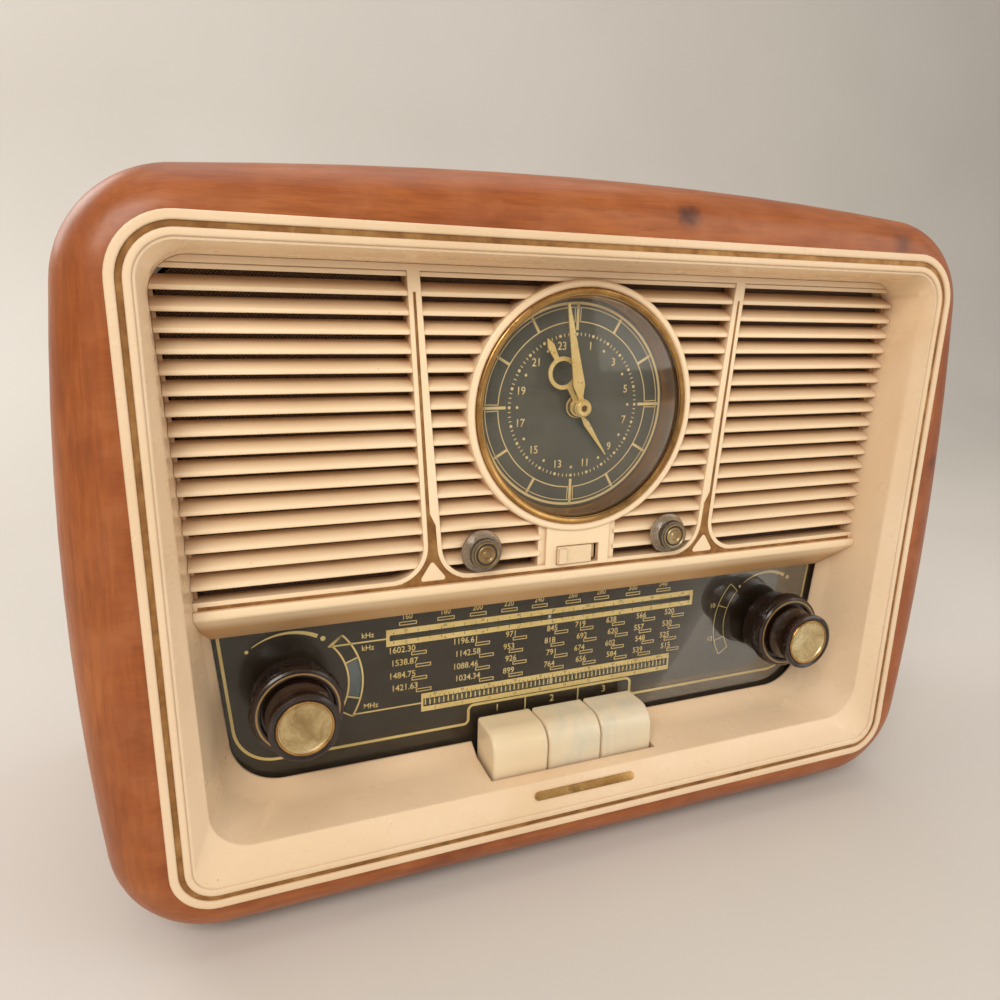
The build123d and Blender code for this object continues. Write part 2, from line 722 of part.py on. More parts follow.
# ---------------------------------------------------------------- clock
with BuildPart() as clock_movement:
    with BuildSketch(front(40)):
        with Locations((0, 180.5)):
            RectangleRounded(96, 109, 4)
    extrude(amount=-30)
    with BuildSketch(front(29.6)):
        with Locations(CLOCK):
            Circle(45.0)
    extrude(amount=-10.5)
    # feet against the baffle
    with BuildSketch(front(BAFFLE_D1 + 0.05)):
        with Locations(*pair(44, 231), *pair(44, 146.5)):
            Circle(2.6)
    extrude(amount=-8)
    # alarm switch body
    with BuildSketch(front(25.4)):
        with Locations((0, 130.5)):
            Rectangle(25, 8.6)
    extrude(amount=-14.7)
    with BuildSketch(front(25.0)):
        with Locations((0, SWITCH_Z)):
            Rectangle(12, 3.2)
    extrude(amount=-3.4, mode=Mode.SUBTRACT)
    # stepped bore for the hand arbors
    for arbor_r, bore_depth in ((ALARM_TUBE_R, 7.2), (HOUR_TUBE_R, 11.2), (ARBOR_R, 15.2)):
        with BuildSketch(front(29)):
            with Locations(CLOCK):
                Circle(arbor_r + RUNNING)
        extrude(amount=-bore_depth, mode=Mode.SUBTRACT)
    # bearings of the setting shafts
    with BuildSketch(front(39)):
        with Locations(ALARM_SET, TIME_SET):
            Circle(SETTING_SHAFT_R + RUNNING)
    extrude(amount=-9, mode=Mode.SUBTRACT)
    # coil cover at the back
    with BuildSketch(front(69.5)):
        with Locations((12, 160)):
            RectangleRounded(44, 40, 3)
    extrude(amount=-2.3)
save("clock_movement", clock_movement)

with BuildPart() as clock_dial:
    with BuildSketch(front(DIAL_PLATE_D)):
        with Locations(CLOCK):
            Circle(CLOCK_HOLE_R)
            Circle(ALARM_TUBE_R + 0.09, mode=Mode.SUBTRACT)
    extrude(amount=-1.0)
save("clock_dial", clock_dial)

with BuildPart() as clock_bezel_ring:
    with BuildSketch(turning(*CLOCK)):
        with BuildLine():
            Line((43.3, 18.35), (44.2, 17.95))
            ThreePointArc((44.2, 17.95), (45.05, 18.05), (45.45, 18.8))
            Line((45.45, 18.8), (45.45, 23.0))
            Line((45.45, 23.0), (44.35, 23.0))
            Line((44.35, 23.0), (44.35, 19.6))
            Line((44.35, 19.6), (43.3, 18.7))
            Line((43.3, 18.7), (43.3, 18.35))
        make_face()
    revolve(axis=shaft_axis(*CLOCK))
save("clock_bezel_ring", clock_bezel_ring)

save_turned("clock_chapter_ring", CLOCK, [
    (41.9, 20.6), (42.9, 20.6), (42.9, 28.45), (40.9, 28.45),
])

# domed lens with a skirt down to the dial
with BuildPart() as clock_lens:
    with BuildSketch(turning(*CLOCK)):
        with BuildLine():
            ThreePointArc((0, 16.1), dome(43.2, 16.1, 18.8), (43.2, 18.8))
            Line((43.2, 18.8), (44.25, 19.8))
            Line((44.25, 19.8), (44.25, 28.4))
            Line((44.25, 28.4), (43.0, 28.4))
            Line((43.0, 28.4), (43.0, 20.45))
            Line((43.0, 20.45), (42.4, 19.95))
            ThreePointArc((42.4, 19.95), dome(42.4, 17.3, 19.95), (0, 17.3))
            Line((0, 17.3), (0, 16.1))
        make_face()
    revolve(axis=shaft_axis(*CLOCK))
save("clock_lens", clock_lens)


def clockwise(points, angle):
    """Turn points of a hand, given as if it stood at twelve, about the clock's centre."""
    cosine, sine = math.cos(math.radians(angle)), math.sin(math.radians(angle))
    return [(x * cosine + z * sine, CLOCK_Z - x * sine + z * cosine) for x, z in points]


# degrees clockwise from twelve
MINUTE_REST, HOUR_REST, ALARM_REST = -11.0, -29.0, 144.0

# outlines of the hands standing at twelve: x, height above the clock's centre
MINUTE_BLADE = [
    (1.1, 0), (1.1, 4.5), (2.5, 9.0), (1.75, 20), (1.0, 33), (0.45, 40.2),
    (-0.45, 40.2), (-1.0, 33), (-1.75, 20), (-2.5, 9.0), (-1.1, 4.5), (-1.1, 0),
]
HOUR_STEM = [(1.2, 0), (0.9, 6), (1.2, 10.0), (-1.2, 10.0), (-0.9, 6), (-1.2, 0)]
HOUR_TIP = [(-0.9, 20.2), (0.9, 20.2), (1.5, 27.0), (0.2, 30.0), (-0.2, 30.0), (-1.5, 27.0)]
ALARM_BLADE = [
    (0.6, 0), (0.6, 5.5), (1.25, 8.5), (0.2, 24.5),
    (-0.2, 24.5), (-1.25, 8.5), (-0.6, 5.5), (-0.6, 0),
]

with BuildPart() as minute_hand:
    with BuildSketch(front(21.5)):
        with BuildLine():
            Polyline(*clockwise(MINUTE_BLADE, MINUTE_REST), close=True)
        make_face()
        with Locations(CLOCK):
            Circle(3.3)
    extrude(amount=-0.7)
    # hub and arbor
    with BuildSketch(turning(*CLOCK)):
        with BuildLine():
            Polyline(
                (0, 20.2), (1.2, 20.2), (1.4, 19.5), (2.7, 19.4), (3.2, 19.9), (3.2, 22.6),
                (ARBOR_R, 22.6), (ARBOR_R, 43.6), (0, 43.6), close=True,
            )
        make_face()
    revolve(axis=shaft_axis(*CLOCK))
save("minute_hand", minute_hand)

with BuildPart() as hour_hand:
    # stem and tip joined by an open ring
    with BuildSketch(front(24.4)):
        for outline in (HOUR_STEM, HOUR_TIP):
            with BuildLine():
                Polyline(*clockwise(outline, HOUR_REST), close=True)
            make_face()
        with Locations(CLOCK):
            Circle(3.6)
        with Locations(*clockwise([(0, 15.2)], HOUR_REST)):
            Circle(6.3)
            Circle(4.7, mode=Mode.SUBTRACT)
        with Locations(CLOCK):
            Circle(ARBOR_R + RUNNING, mode=Mode.SUBTRACT)
    extrude(amount=-0.7)
    with BuildSketch(front(23.4)):
        with Locations(CLOCK):
            Circle(HOUR_TUBE_R)
            Circle(ARBOR_R + RUNNING, mode=Mode.SUBTRACT)
    extrude(amount=-16)
save("hour_hand", hour_hand)

with BuildPart() as alarm_hand:
    with BuildSketch(front(26.4)):
        with BuildLine():
            Polyline(*clockwise(ALARM_BLADE, ALARM_REST), close=True)
        make_face()
        with Locations(CLOCK):
            Circle(4.4)
            Circle(HOUR_TUBE_R + RUNNING, mode=Mode.SUBTRACT)
    extrude(amount=-0.5)
    with BuildSketch(front(25.7)):
        with Locations(CLOCK):
            Circle(ALARM_TUBE_R)
            Circle(HOUR_TUBE_R + RUNNING, mode=Mode.SUBTRACT)
    extrude(amount=-10)
save("alarm_hand", alarm_hand)

# ---------------------------------------------------------------- clock-setting knobs
SETTING_KNOB = [  # radius, depth; the knob and its shaft
    (0, 15.4), (5.2, 15.4), (5.2, 13.9), (5.9, 13.9), (6.0, 16.6), (6.9, 17.5), (8.1, 18.2),
    (8.3, 18.7), (8.1, 19.4), (3.2, 19.6), (SETTING_SHAFT_R, 19.9), (SETTING_SHAFT_R, 47.4),
    (0, 47.4),
]
SETTING_CAP = [  # radius, depth
    (0, 13.3), (1.2, 13.3), (1.6, 13.7), (2.3, 13.7), (2.7, 13.3), (3.3, 13.3), (3.7, 13.7),
    (4.2, 13.7), (4.6, 13.2), (5.0, 13.3), (5.1, 13.7), (5.1, 15.35), (0, 15.35),
]
for name, place in (("alarm", ALARM_SET), ("time", TIME_SET)):
    save_turned(f"{name}_set_knob", place, SETTING_KNOB)
    save_turned(f"{name}_set_cap", place, SETTING_CAP)

# ---------------------------------------------------------------- alarm slide switch
BUTTON_X = -1.65  # the button stands left of the middle
with BuildPart() as slide_switch_button:
    with BuildSketch(front(18.7)):
        with Locations((BUTTON_X, SWITCH_Z)):
            RectangleRounded(15.3, 7.2, 0.6)
    extrude(amount=-3.4)
    fillet(slide_switch_button.faces().sort_by(Axis.Y)[0].edges(), 0.35)
    # grip rib at the left
    with BuildSketch(front(17.7)):
        with Locations((-7.3, SWITCH_Z)):
            Rectangle(3.4, 6.2)
    extrude(amount=-1.4)
    # retaining flange and drive tongue
    with BuildSketch(front(22.05)):
        with Locations((-1.7, SWITCH_Z)):
            Rectangle(21.2, 1.0)
        with Locations((-1.7, 130.5)):
            Rectangle(21.2, 9.6)
    extrude(amount=-0.9)
    with BuildSketch(front(22.5)):
        with Locations((BUTTON_X, SWITCH_Z)):
            Rectangle(4.5, 2.6)
    extrude(amount=-5.2)
save("slide_switch_button", slide_switch_button)

# ---------------------------------------------------------------- dial glass and scale
with BuildPart() as dial_glass:
    with BuildSketch(front(GLASS_D0)):
        with BuildLine():
            Polyline((-145.5, 112), (145.5, 112), (137.5, 41.2), (-137.5, 41.2), close=True)
        make_face()
        with Locations(VOLUME, TUNING):
            Circle(6.0, mode=Mode.SUBTRACT)
    extrude(amount=-(GLASS_D1 - GLASS_D0))
    fillet(dial_glass.edges().filter_by(Axis.Y).group_by(Axis.Z)[0], 18)
save("dial_glass", dial_glass)


def round_volume(radius, angle):
    """Point at an angle in degrees, anticlockwise from +X, about the volume knob."""
    return (
        -KNOB_X + radius * math.cos(math.radians(angle)),
        KNOB_Z + radius * math.sin(math.radians(angle)),
    )


ARC_IN_R, ARC_OUT_R = 23.2, 28.0  # curved window beside the volume knob
ARC_TOP, ARC_MID, ARC_BOTTOM = 20, 2, -16  # degrees
with BuildPart() as dial_print_plate:
    with BuildSketch(front(GLASS_D1 + 0.05)):
        with BuildLine():
            Polyline((-145.0, 112), (145.0, 112), (137.1, 41.6), (-137.1, 41.6), close=True)
        make_face()
        with Locations(VOLUME, TUNING):
            Circle(6.2, mode=Mode.SUBTRACT)
        # slots the pointers show through
        with Locations((AM_POINTER_X, AM_SLOT_Z)):
            Rectangle(142.0, 1.9, mode=Mode.SUBTRACT)
        with Locations((FM_POINTER_X, FM_SLOT_Z)):
            Rectangle(118.0, 3.2, mode=Mode.SUBTRACT)
    extrude(amount=-0.5)
    with BuildSketch(front(GLASS_D1)):
        with BuildLine():
            ThreePointArc(*[
                round_volume(ARC_OUT_R, angle) for angle in (ARC_TOP, ARC_MID, ARC_BOTTOM)
            ])
            Line(round_volume(ARC_OUT_R, ARC_BOTTOM), round_volume(ARC_IN_R, ARC_BOTTOM))
            ThreePointArc(*[
                round_volume(ARC_IN_R, angle) for angle in (ARC_BOTTOM, ARC_MID, ARC_TOP)
            ])
            Line(round_volume(ARC_IN_R, ARC_TOP), round_volume(ARC_OUT_R, ARC_TOP))
        make_face()
    extrude(amount=-2, mode=Mode.SUBTRACT)
    fillet(dial_print_plate.edges().filter_by(Axis.Y).group_by(Axis.Z)[0], 17.6)
save("dial_print_plate", dial_print_plate)

REFLECTOR_D = 44.0
RAILS = ((RAIL_D, AM_RAIL_Z), (RAIL_D, FM_RAIL_Z))  # depth, z
with BuildPart() as dial_reflector:
    with BuildSketch(front(REFLECTOR_D)):
        with BuildLine():
            Polyline((-138, 116), (138, 116), (134, 50), (-134, 50), close=True)
        make_face()
        with Locations(VOLUME, TUNING):
            Circle(8.0, mode=Mode.SUBTRACT)
        with Locations(*LAMPS):
            Circle(4.6, mode=Mode.SUBTRACT)
    extrude(amount=-1.2)
    # tabs back to the chassis
    with BuildSketch(front(45.0)):
        with Locations(*pair(72, 50.7)):
            Rectangle(34, 1.4)
    extrude(amount=-(CHASSIS_D0 - 45.05))
    # lugs that carry the pointer rails
    with BuildSketch(front(RAIL_D - 2.4)):
        with Locations(*pair(92, AM_RAIL_Z), *pair(92, FM_RAIL_Z)):
            Rectangle(3, 5)
    extrude(amount=-(REFLECTOR_D - RAIL_D + 2.5))
    with BuildSketch(side(-100)):
        with Locations(*RAILS):
            Circle(RAIL_R)
    extrude(amount=200, mode=Mode.SUBTRACT)
save("dial_reflector", dial_reflector)

with BuildPart() as pointer_rails:
    with BuildSketch(side(-95)):
        with Locations(*RAILS):
            Circle(RAIL_R)
    extrude(amount=190)
    chamfer(pointer_rails.faces().filter_by(Axis.X).edges(), 0.25)
save("pointer_rails", pointer_rails)

# pointers: a slider on the rail and a thin needle in front of it
for name, pointer_x, rail_z, needle_z, needle_length in (
    ("am_pointer", AM_POINTER_X, AM_RAIL_Z, 101.0, 20.0),
    ("fm_pointer", FM_POINTER_X, FM_RAIL_Z, 61.0, 17.0),
):
    with BuildPart() as pointer:
        with BuildSketch(side(pointer_x - 4)):
            with Locations((RAIL_D, rail_z)):
                Rectangle(4.6, 4.6)
                Circle(RAIL_R + RUNNING, mode=Mode.SUBTRACT)
        extrude(amount=8)
        with BuildSketch(front(37.2)):
            with Locations((pointer_x, needle_z)):
                Rectangle(1.3, needle_length)
        extrude(amount=-0.6)
    save(name, pointer)

LAMP = [  # radius, depth; bulb, then its cylindrical base
    (0, 37.0), (1.4, 37.2), (2.6, 37.9), (3.5, 38.9), (3.95, 40.0), (4.0, 41.2), (3.3, 42.9),
    (4.4, 43.3), (4.4, 50.5), (0, 50.5),
]
with BuildPart() as dial_lamps:
    for place in LAMPS:
        with BuildSketch(turning(*place)):
            with BuildLine():
                Polyline(*LAMP, close=True)
            make_face()
        revolve(axis=shaft_axis(*place))
save("dial_lamps", dial_lamps)

# ---------------------------------------------------------------- big dual knobs
# Profiles of (radius, depth). Each knob's shaft runs inside the tube of its ring.
INNER_KNOB = [
    (0, 5.6), (10.5, 5.6), (10.5, 4.6), (11.6, 4.2), (12.5, 4.6), (12.7, 5.6), (12.2, 7.2),
    (11.2, 9.6), (10.9, 11.6), (11.4, 13.6), (12.4, 15.2), (12.4, 16.0), (5.0, 16.2),
    (SHAFT_R, 16.2),
]
TUBE_BORE_R = SHAFT_R + 0.05
OUTER_RING = [
    (TUBE_BORE_R, 18.4), (13.2, 18.4), (13.4, 17.2), (13.8, 16.9), (15.9, 16.9),
    (16.6, 17.5), (16.7, 18.6), (16.7, 23.0), (16.1, 24.0), (15.3, 30.6), (14.7, 31.2),
    (TUBE_R, 31.2),
]
KNOB_CAP = [
    (0, 5.0), (8.6, 5.0), (9.0, 4.5), (9.9, 4.4), (10.3, 4.8), (10.3, 5.55), (0, 5.55),
]
POT_TUBE_END, POT_SHAFT_END = 55.0, 64.0

save_turned("volume_knob", VOLUME, [*INNER_KNOB, (SHAFT_R, POT_SHAFT_END), (0, POT_SHAFT_END)])
save_turned("volume_cap", VOLUME, KNOB_CAP)
save_turned("tone_ring", VOLUME, [
    *OUTER_RING, (TUBE_R, POT_TUBE_END), (TUBE_BORE_R, POT_TUBE_END),
])
# knob, shaft and the flywheel on it
save_turned("tuning_knob", TUNING, [
    *INNER_KNOB, (SHAFT_R, 60.0), (7.0, 60.0), (7.0, 61.6), (16.0, 61.6), (16.0, 60.6),
    (19.0, 60.6), (19.0, 66.4), (16.0, 66.4), (16.0, 65.4), (SHAFT_R, 65.4), (SHAFT_R, 73.0),
    (0, 73.0),
])
save_turned("tuning_cap", TUNING, KNOB_CAP)
# ring, tube and the grooved pulley at its end
save_turned("fm_ring", TUNING, [
    *OUTER_RING, (TUBE_R, 53.4), (9.6, 53.4), (9.6, 54.2), (8.8, 55.0), (9.6, 55.8),
    (9.6, 56.8), (TUBE_BORE_R, 56.8),
])

with BuildPart() as potentiometer:
    with BuildSketch(turning(*VOLUME)):
        with BuildLine():
            Polyline(
                (SHAFT_R + RUNNING, 55.6), (TUBE_R + RUNNING, 55.6), (TUBE_R + RUNNING, 52.05),
                (12.6, 52.05), (13.2, 52.6), (13.2, 58.4), (12.8, 58.8), (13.2, 59.2),
                (13.2, 65.4), (0, 65.4), (0, 64.6), (SHAFT_R + RUNNING, 64.6), close=True,
            )
        make_face()
    revolve(axis=shaft_axis(*VOLUME))
    # three tags below the body
    with BuildSketch(front(54.5)):
        with Locations((-KNOB_X, KNOB_Z - 15)):
            with GridLocations(6, 5, 3, 1):
                Rectangle(1.8, 6.4)
    extrude(amount=-0.6)
save("potentiometer", potentiometer)

with BuildPart() as control_bracket:
    for sign in (-1, 1):
        with BuildSketch(front(50)):
            with Locations((sign * KNOB_X, 74.0)):
                RectangleRounded(42, 40, 3)
        extrude(amount=-2)
        # foot back to the chassis front
        with BuildSketch(front(51)):
            with Locations((sign * KNOB_X, 55.1)):
                Rectangle(42, 1.6)
        extrude(amount=-(CHASSIS_D0 - 51.05))
    with BuildSketch(front(49)):
        with Locations(VOLUME, TUNING):
            Circle(TUBE_R + RUNNING)
    extrude(amount=-3.2, mode=Mode.SUBTRACT)
    # rear bearing of the tuning shaft stands on the chassis
    with BuildSketch(front(70)):
        with Locations((KNOB_X, 73.5)):
            RectangleRounded(30, 34.8, 3)
            with Locations((0, KNOB_Z - 73.5)):
                Circle(SHAFT_R + RUNNING, mode=Mode.SUBTRACT)
    extrude(amount=-2)
save("control_bracket", control_bracket)

# ---------------------------------------------------------------- piano keys
KEY_POSITIONS = (  # name, middle of the key in X
    ("left", -(KEY_W + KEY_GAP)), ("middle", 0.0), ("right", KEY_W + KEY_GAP),
)
KEY_BODY = [(12.4, 34.8), (12.4, 48.5), (21.4, 57.5), (31.2, 57.5), (31.2, 34.8)]  # depth, z
KEY_STEM = [  # depth, z
    (24, 34.8), (24, KEY_STEM_Z), (54, KEY_STEM_Z), (KEY_PIVOT[0], 38.2),
    (KEY_PIVOT[0], 30.2), (54, 34.8),
]

for name, key_x in KEY_POSITIONS:
    with BuildPart() as key:
        with BuildSketch(side(key_x - KEY_W / 2)):
            with BuildLine():
                Polyline(*KEY_BODY, close=True)
            make_face()
            # rounded upper front edge
            with BuildLine():
                ThreePointArc((12.4, 48.5), (15.04, 54.86), (21.4, 57.5))
                Line((21.4, 57.5), (12.4, 48.5))
            make_face()
        extrude(amount=KEY_W)
        # all the end edges except the lowest
        end_edges = key.faces().filter_by(Axis.X).edges()
        fillet(end_edges.filter_by_position(Axis.Z, 34.9, 60), KEY_EDGE_R)
        # stem back to the hub
        with BuildSketch(side(key_x - 5)):
            with BuildLine():
                Polyline(*KEY_STEM, close=True)
            make_face()
        extrude(amount=10)
        with BuildSketch(side(key_x - 10)):
            with Locations(KEY_PIVOT):
                Circle(KEY_HUB_R)
        extrude(amount=20)
        with BuildSketch(side(key_x - 11)):
            with Locations(KEY_PIVOT):
                Circle(KEY_ROD_R + RUNNING)
        extrude(amount=22, mode=Mode.SUBTRACT)
    save(f"key_{name}", key)

KEY_CHEEK_T = 1.6
with BuildPart() as key_bracket:
    # end cheeks
    for cheek_x in (-KEY_BRACKET_HALF, KEY_BRACKET_HALF - KEY_CHEEK_T):
        with BuildSketch(side(cheek_x)):
            with Locations((57.45, 33.0)):
                Rectangle(17, 17)
        extrude(amount=KEY_CHEEK_T)
    # floor and upright against the chassis
    with BuildSketch(side(-KEY_BRACKET_HALF)):
        with BuildLine():
            Polyline(
                (40, 23.2), (CHASSIS_D0 - 0.05, 23.2), (CHASSIS_D0 - 0.05, 41.5),
                (64.6, 41.5), (64.6, 24.7), (40, 24.7), close=True,
            )
        make_face()
    extrude(amount=2 * KEY_BRACKET_HALF)
    # rod the keys turn on
    with BuildSketch(side(-KEY_BRACKET_HALF)):
        with Locations(KEY_PIVOT):
            Circle(KEY_ROD_R)
    extrude(amount=2 * KEY_BRACKET_HALF)
    # stop bar above the stems
    with BuildSketch(side(-KEY_BRACKET_HALF)):
        with Locations((50.0, KEY_STEM_Z + 1.7)):
            Rectangle(2.2, 3.0)
    extrude(amount=2 * KEY_BRACKET_HALF)
save("key_bracket", key_bracket)

# springs between the bracket's floor and the key stems
SPRING_D, SPRING_R, SPRING_WIRE_R = 46.0, 3.0, 0.35
SPRING_Z0, SPRING_Z1 = 25.1, 34.4
SPRING_PITCH = 1.6
SPRING_SLOPE = 0.085  # rise of the wire over its run at the start

for name, key_x in KEY_POSITIONS:
    with BuildPart() as spring:
        with BuildLine():
            Helix(
                pitch=SPRING_PITCH, height=SPRING_Z1 - SPRING_Z0, radius=SPRING_R,
                center=(key_x, Y0 + SPRING_D, SPRING_Z0),
            )
        with BuildSketch(
            Plane(
                origin=(key_x + SPRING_R, Y0 + SPRING_D, SPRING_Z0),
                x_dir=(1, 0, 0), z_dir=(0, 1, SPRING_SLOPE),
            )
        ):
            Circle(SPRING_WIRE_R)
        sweep(is_frenet=True)
    save(f"key_spring_{name}", spring)

# ---------------------------------------------------------------- tuning gang
VANE_R, VANE_PITCH, VANE_T = 20.0, 2.5, 0.6
VANE_D = 86  # depth of the first fixed vane
FIXED_VANES = 12  # the moving vanes stand in the gaps between them

with BuildPart() as gang_frame:
    # front and rear plates
    for plate_d in (82, 116):
        with BuildSketch(front(plate_d)):
            with Locations((DRUM_X, 87.5)):
                Rectangle(46, 62.8)
        extrude(amount=-2)
    # floor and two rails that hold the vanes
    with BuildSketch(front(83)):
        with Locations((DRUM_X, 57.1)):
            Rectangle(46, 2.0)
        with Locations((DRUM_X - 21.5, 64), (DRUM_X + 21.5, 64)):
            Rectangle(3, 5)
    extrude(amount=-34)
    for i in range(FIXED_VANES):
        with BuildSketch(front(VANE_D + i * VANE_PITCH)):
            with Locations((DRUM_X, 77.2)):
                Rectangle(42, 30)
        extrude(amount=-VANE_T)
    with BuildSketch(front(81)):
        with Locations(DRUM):
            Circle(SHAFT_R + RUNNING)
    extrude(amount=-40, mode=Mode.SUBTRACT)
save("gang_frame", gang_frame)

with BuildPart() as gang_rotor:
    with BuildSketch(front(72.6)):
        with Locations(DRUM):
            Circle(SHAFT_R)
    extrude(amount=-46.9)
    # moving vanes, cut away on the left
    for i in range(FIXED_VANES - 1):
        with BuildSketch(front(VANE_D + (i + 0.5) * VANE_PITCH)):
            with Locations(DRUM):
                Circle(VANE_R)
                with Locations((-VANE_R / 2 - 2, 0)):
                    Rectangle(VANE_R, 2 * VANE_R + 1, mode=Mode.SUBTRACT)
                Circle(SHAFT_R + 0.5)
        extrude(amount=-VANE_T)
    # cord drum
    with BuildSketch(turning(*DRUM)):
        with BuildLine():
            Polyline(
                (0, 72.6), (8, 72.6), (8, 75.2), (35, 75.2), (35, 73.2), (DRUM_R, 73.2),
                (DRUM_R, 74.0), (DRUM_R - 1.2, 75.0), (DRUM_R - 1.2, 76.6), (DRUM_R, 77.6),
                (DRUM_R, 78.4), (35, 78.4), (35, 76.4), (8, 76.4), (8, 79.8), (0, 79.8),
                close=True,
            )
        make_face()
    revolve(axis=shaft_axis(*DRUM))
    # holes through the drum's web
    with BuildSketch(front(72)):
        with Locations(DRUM):
            with PolarLocations(21.5, 5, start_angle=18):
                Circle(7)
    extrude(amount=-8, mode=Mode.SUBTRACT)
save("gang_rotor", gang_rotor)

# ---------------------------------------------------------------- chassis and what stands on it
VALVES = (  # x, depth, radius, height of the shoulder above the chassis
    (-120.0, 108.0, 10.5, 56.0), (-78.0, 142.0, 9.5, 50.0),
    (66.0, 144.0, 10.5, 60.0), (108.0, 106.0, 9.5, 50.0),
)
SOCKET_H = 3.0

with BuildPart() as chassis_tray:
    with BuildSketch(level(CHASSIS_BOT_Z)):
        with Locations((0, CHASSIS_MID_D)):
            Rectangle(300, CHASSIS_D1 - CHASSIS_D0)
    extrude(amount=CHASSIS_TOP_Z - CHASSIS_BOT_Z)
    # hollow from below
    with BuildSketch(level(20)):
        with Locations((0, CHASSIS_MID_D)):
            Rectangle(297, CHASSIS_D1 - CHASSIS_D0 - 3)
    extrude(amount=34.5, mode=Mode.SUBTRACT)
    # valve sockets
    with BuildSketch(level(CHASSIS_TOP_Z)):
        for x, depth, radius, _ in VALVES:
            with Locations((x, depth)):
                Circle(radius + 2.0)
    extrude(amount=SOCKET_H)
    # aerial and loudspeaker sockets in the rear wall
    with BuildSketch(front(CHASSIS_D1 + 1)):
        with Locations((118, 45)):
            with GridLocations(9, 8, 4, 2):
                Circle(2.0)
    extrude(amount=5, mode=Mode.SUBTRACT)
save("chassis_tray", chassis_tray)

with BuildPart() as valve_envelopes:
    for x, depth, radius, height in VALVES:
        base_z, shoulder_z = CHASSIS_TOP_Z + SOCKET_H + 0.05, CHASSIS_TOP_Z + height
        with BuildSketch(front(depth)):
            with BuildLine():
                Polyline(
                    (x, shoulder_z + 4.6), (x, base_z), (x + radius - 0.8, base_z),
                    (x + radius, base_z + 1.0), (x + radius, shoulder_z - 5.0),
                    (x + radius - 1.4, shoulder_z - 2.0), (x + radius - 4.4, shoulder_z),
                    (x + 2.2, shoulder_z + 1.0), (x + 1.3, shoulder_z + 3.6), close=True,
                )
            make_face()
        revolve(axis=Axis((x, Y0 + depth, 0), (0, 0, 1)))
save("valve_envelopes", valve_envelopes)

SQUARE_CANS = ((-34, 96), (-34, 142))  # x, depth
with BuildPart() as shielding_cans:
    with BuildSketch(level(STANDING_Z)):
        with Locations(*SQUARE_CANS):
            RectangleRounded(22, 22, 3)
    extrude(amount=48)
    fillet(shielding_cans.faces().filter_by(Axis.Z).group_by(Axis.Z)[-1].edges(), 2.0)
    # hole in the top of each square can
    with BuildSketch(level(CHASSIS_TOP_Z + 40)):
        with Locations(*SQUARE_CANS):
            Circle(2.4)
    extrude(amount=12, mode=Mode.SUBTRACT)
    # taller round can
    with BuildSketch(level(STANDING_Z)):
        with Locations((34, 146)):
            Circle(13.0)
    extrude(amount=64)
    fillet(shielding_cans.faces().filter_by(Axis.Z).group_by(Axis.Z)[-1].edges(), 2.4)
save("shielding_cans", shielding_cans)

TRANSFORMERS = (  # x, depth, width, height, thickness of the core
    (115.5, 146, 54, 46, 24),
    (-118, 148, 36, 31, 16),
)
with BuildPart() as transformers:
    for x, depth, width, height, thickness in TRANSFORMERS:
        with BuildSketch(level(STANDING_Z)):
            with Locations((x, depth)):
                Rectangle(width, thickness)
        extrude(amount=height)
        # winding
        with BuildSketch(level(STANDING_Z + height * 0.22)):
            with Locations((x, depth)):
                RectangleRounded(width * 0.58, thickness + 14, 3)
        extrude(amount=height * 0.56)
        # mounting foot
        with BuildSketch(level(STANDING_Z)):
            with Locations((x, depth)):
                Rectangle(width + 12, thickness * 0.6)
        extrude(amount=1.4)
save("transformers", transformers)

AERIAL_Z, AERIAL_D = 240.0, 118.0
AERIAL_RODS = (  # left end in X, radius, length: the rod, then two coils on it
    (-85, 5.0, 170), (-58, 6.8, 34), (12, 6.4, 26),
)
with BuildPart() as ferrite_aerial:
    for left_x, radius, length in AERIAL_RODS:
        with BuildSketch(side(left_x)):
            with Locations((AERIAL_D, AERIAL_Z)):
                Circle(radius)
        extrude(amount=length)
    # holders up to the cabinet's top
    with BuildSketch(level(231.5)):
        with Locations(*pair(72, AERIAL_D)):
            RectangleRounded(7, 15, 1.5)
    extrude(amount=28.0)
save("ferrite_aerial", ferrite_aerial)

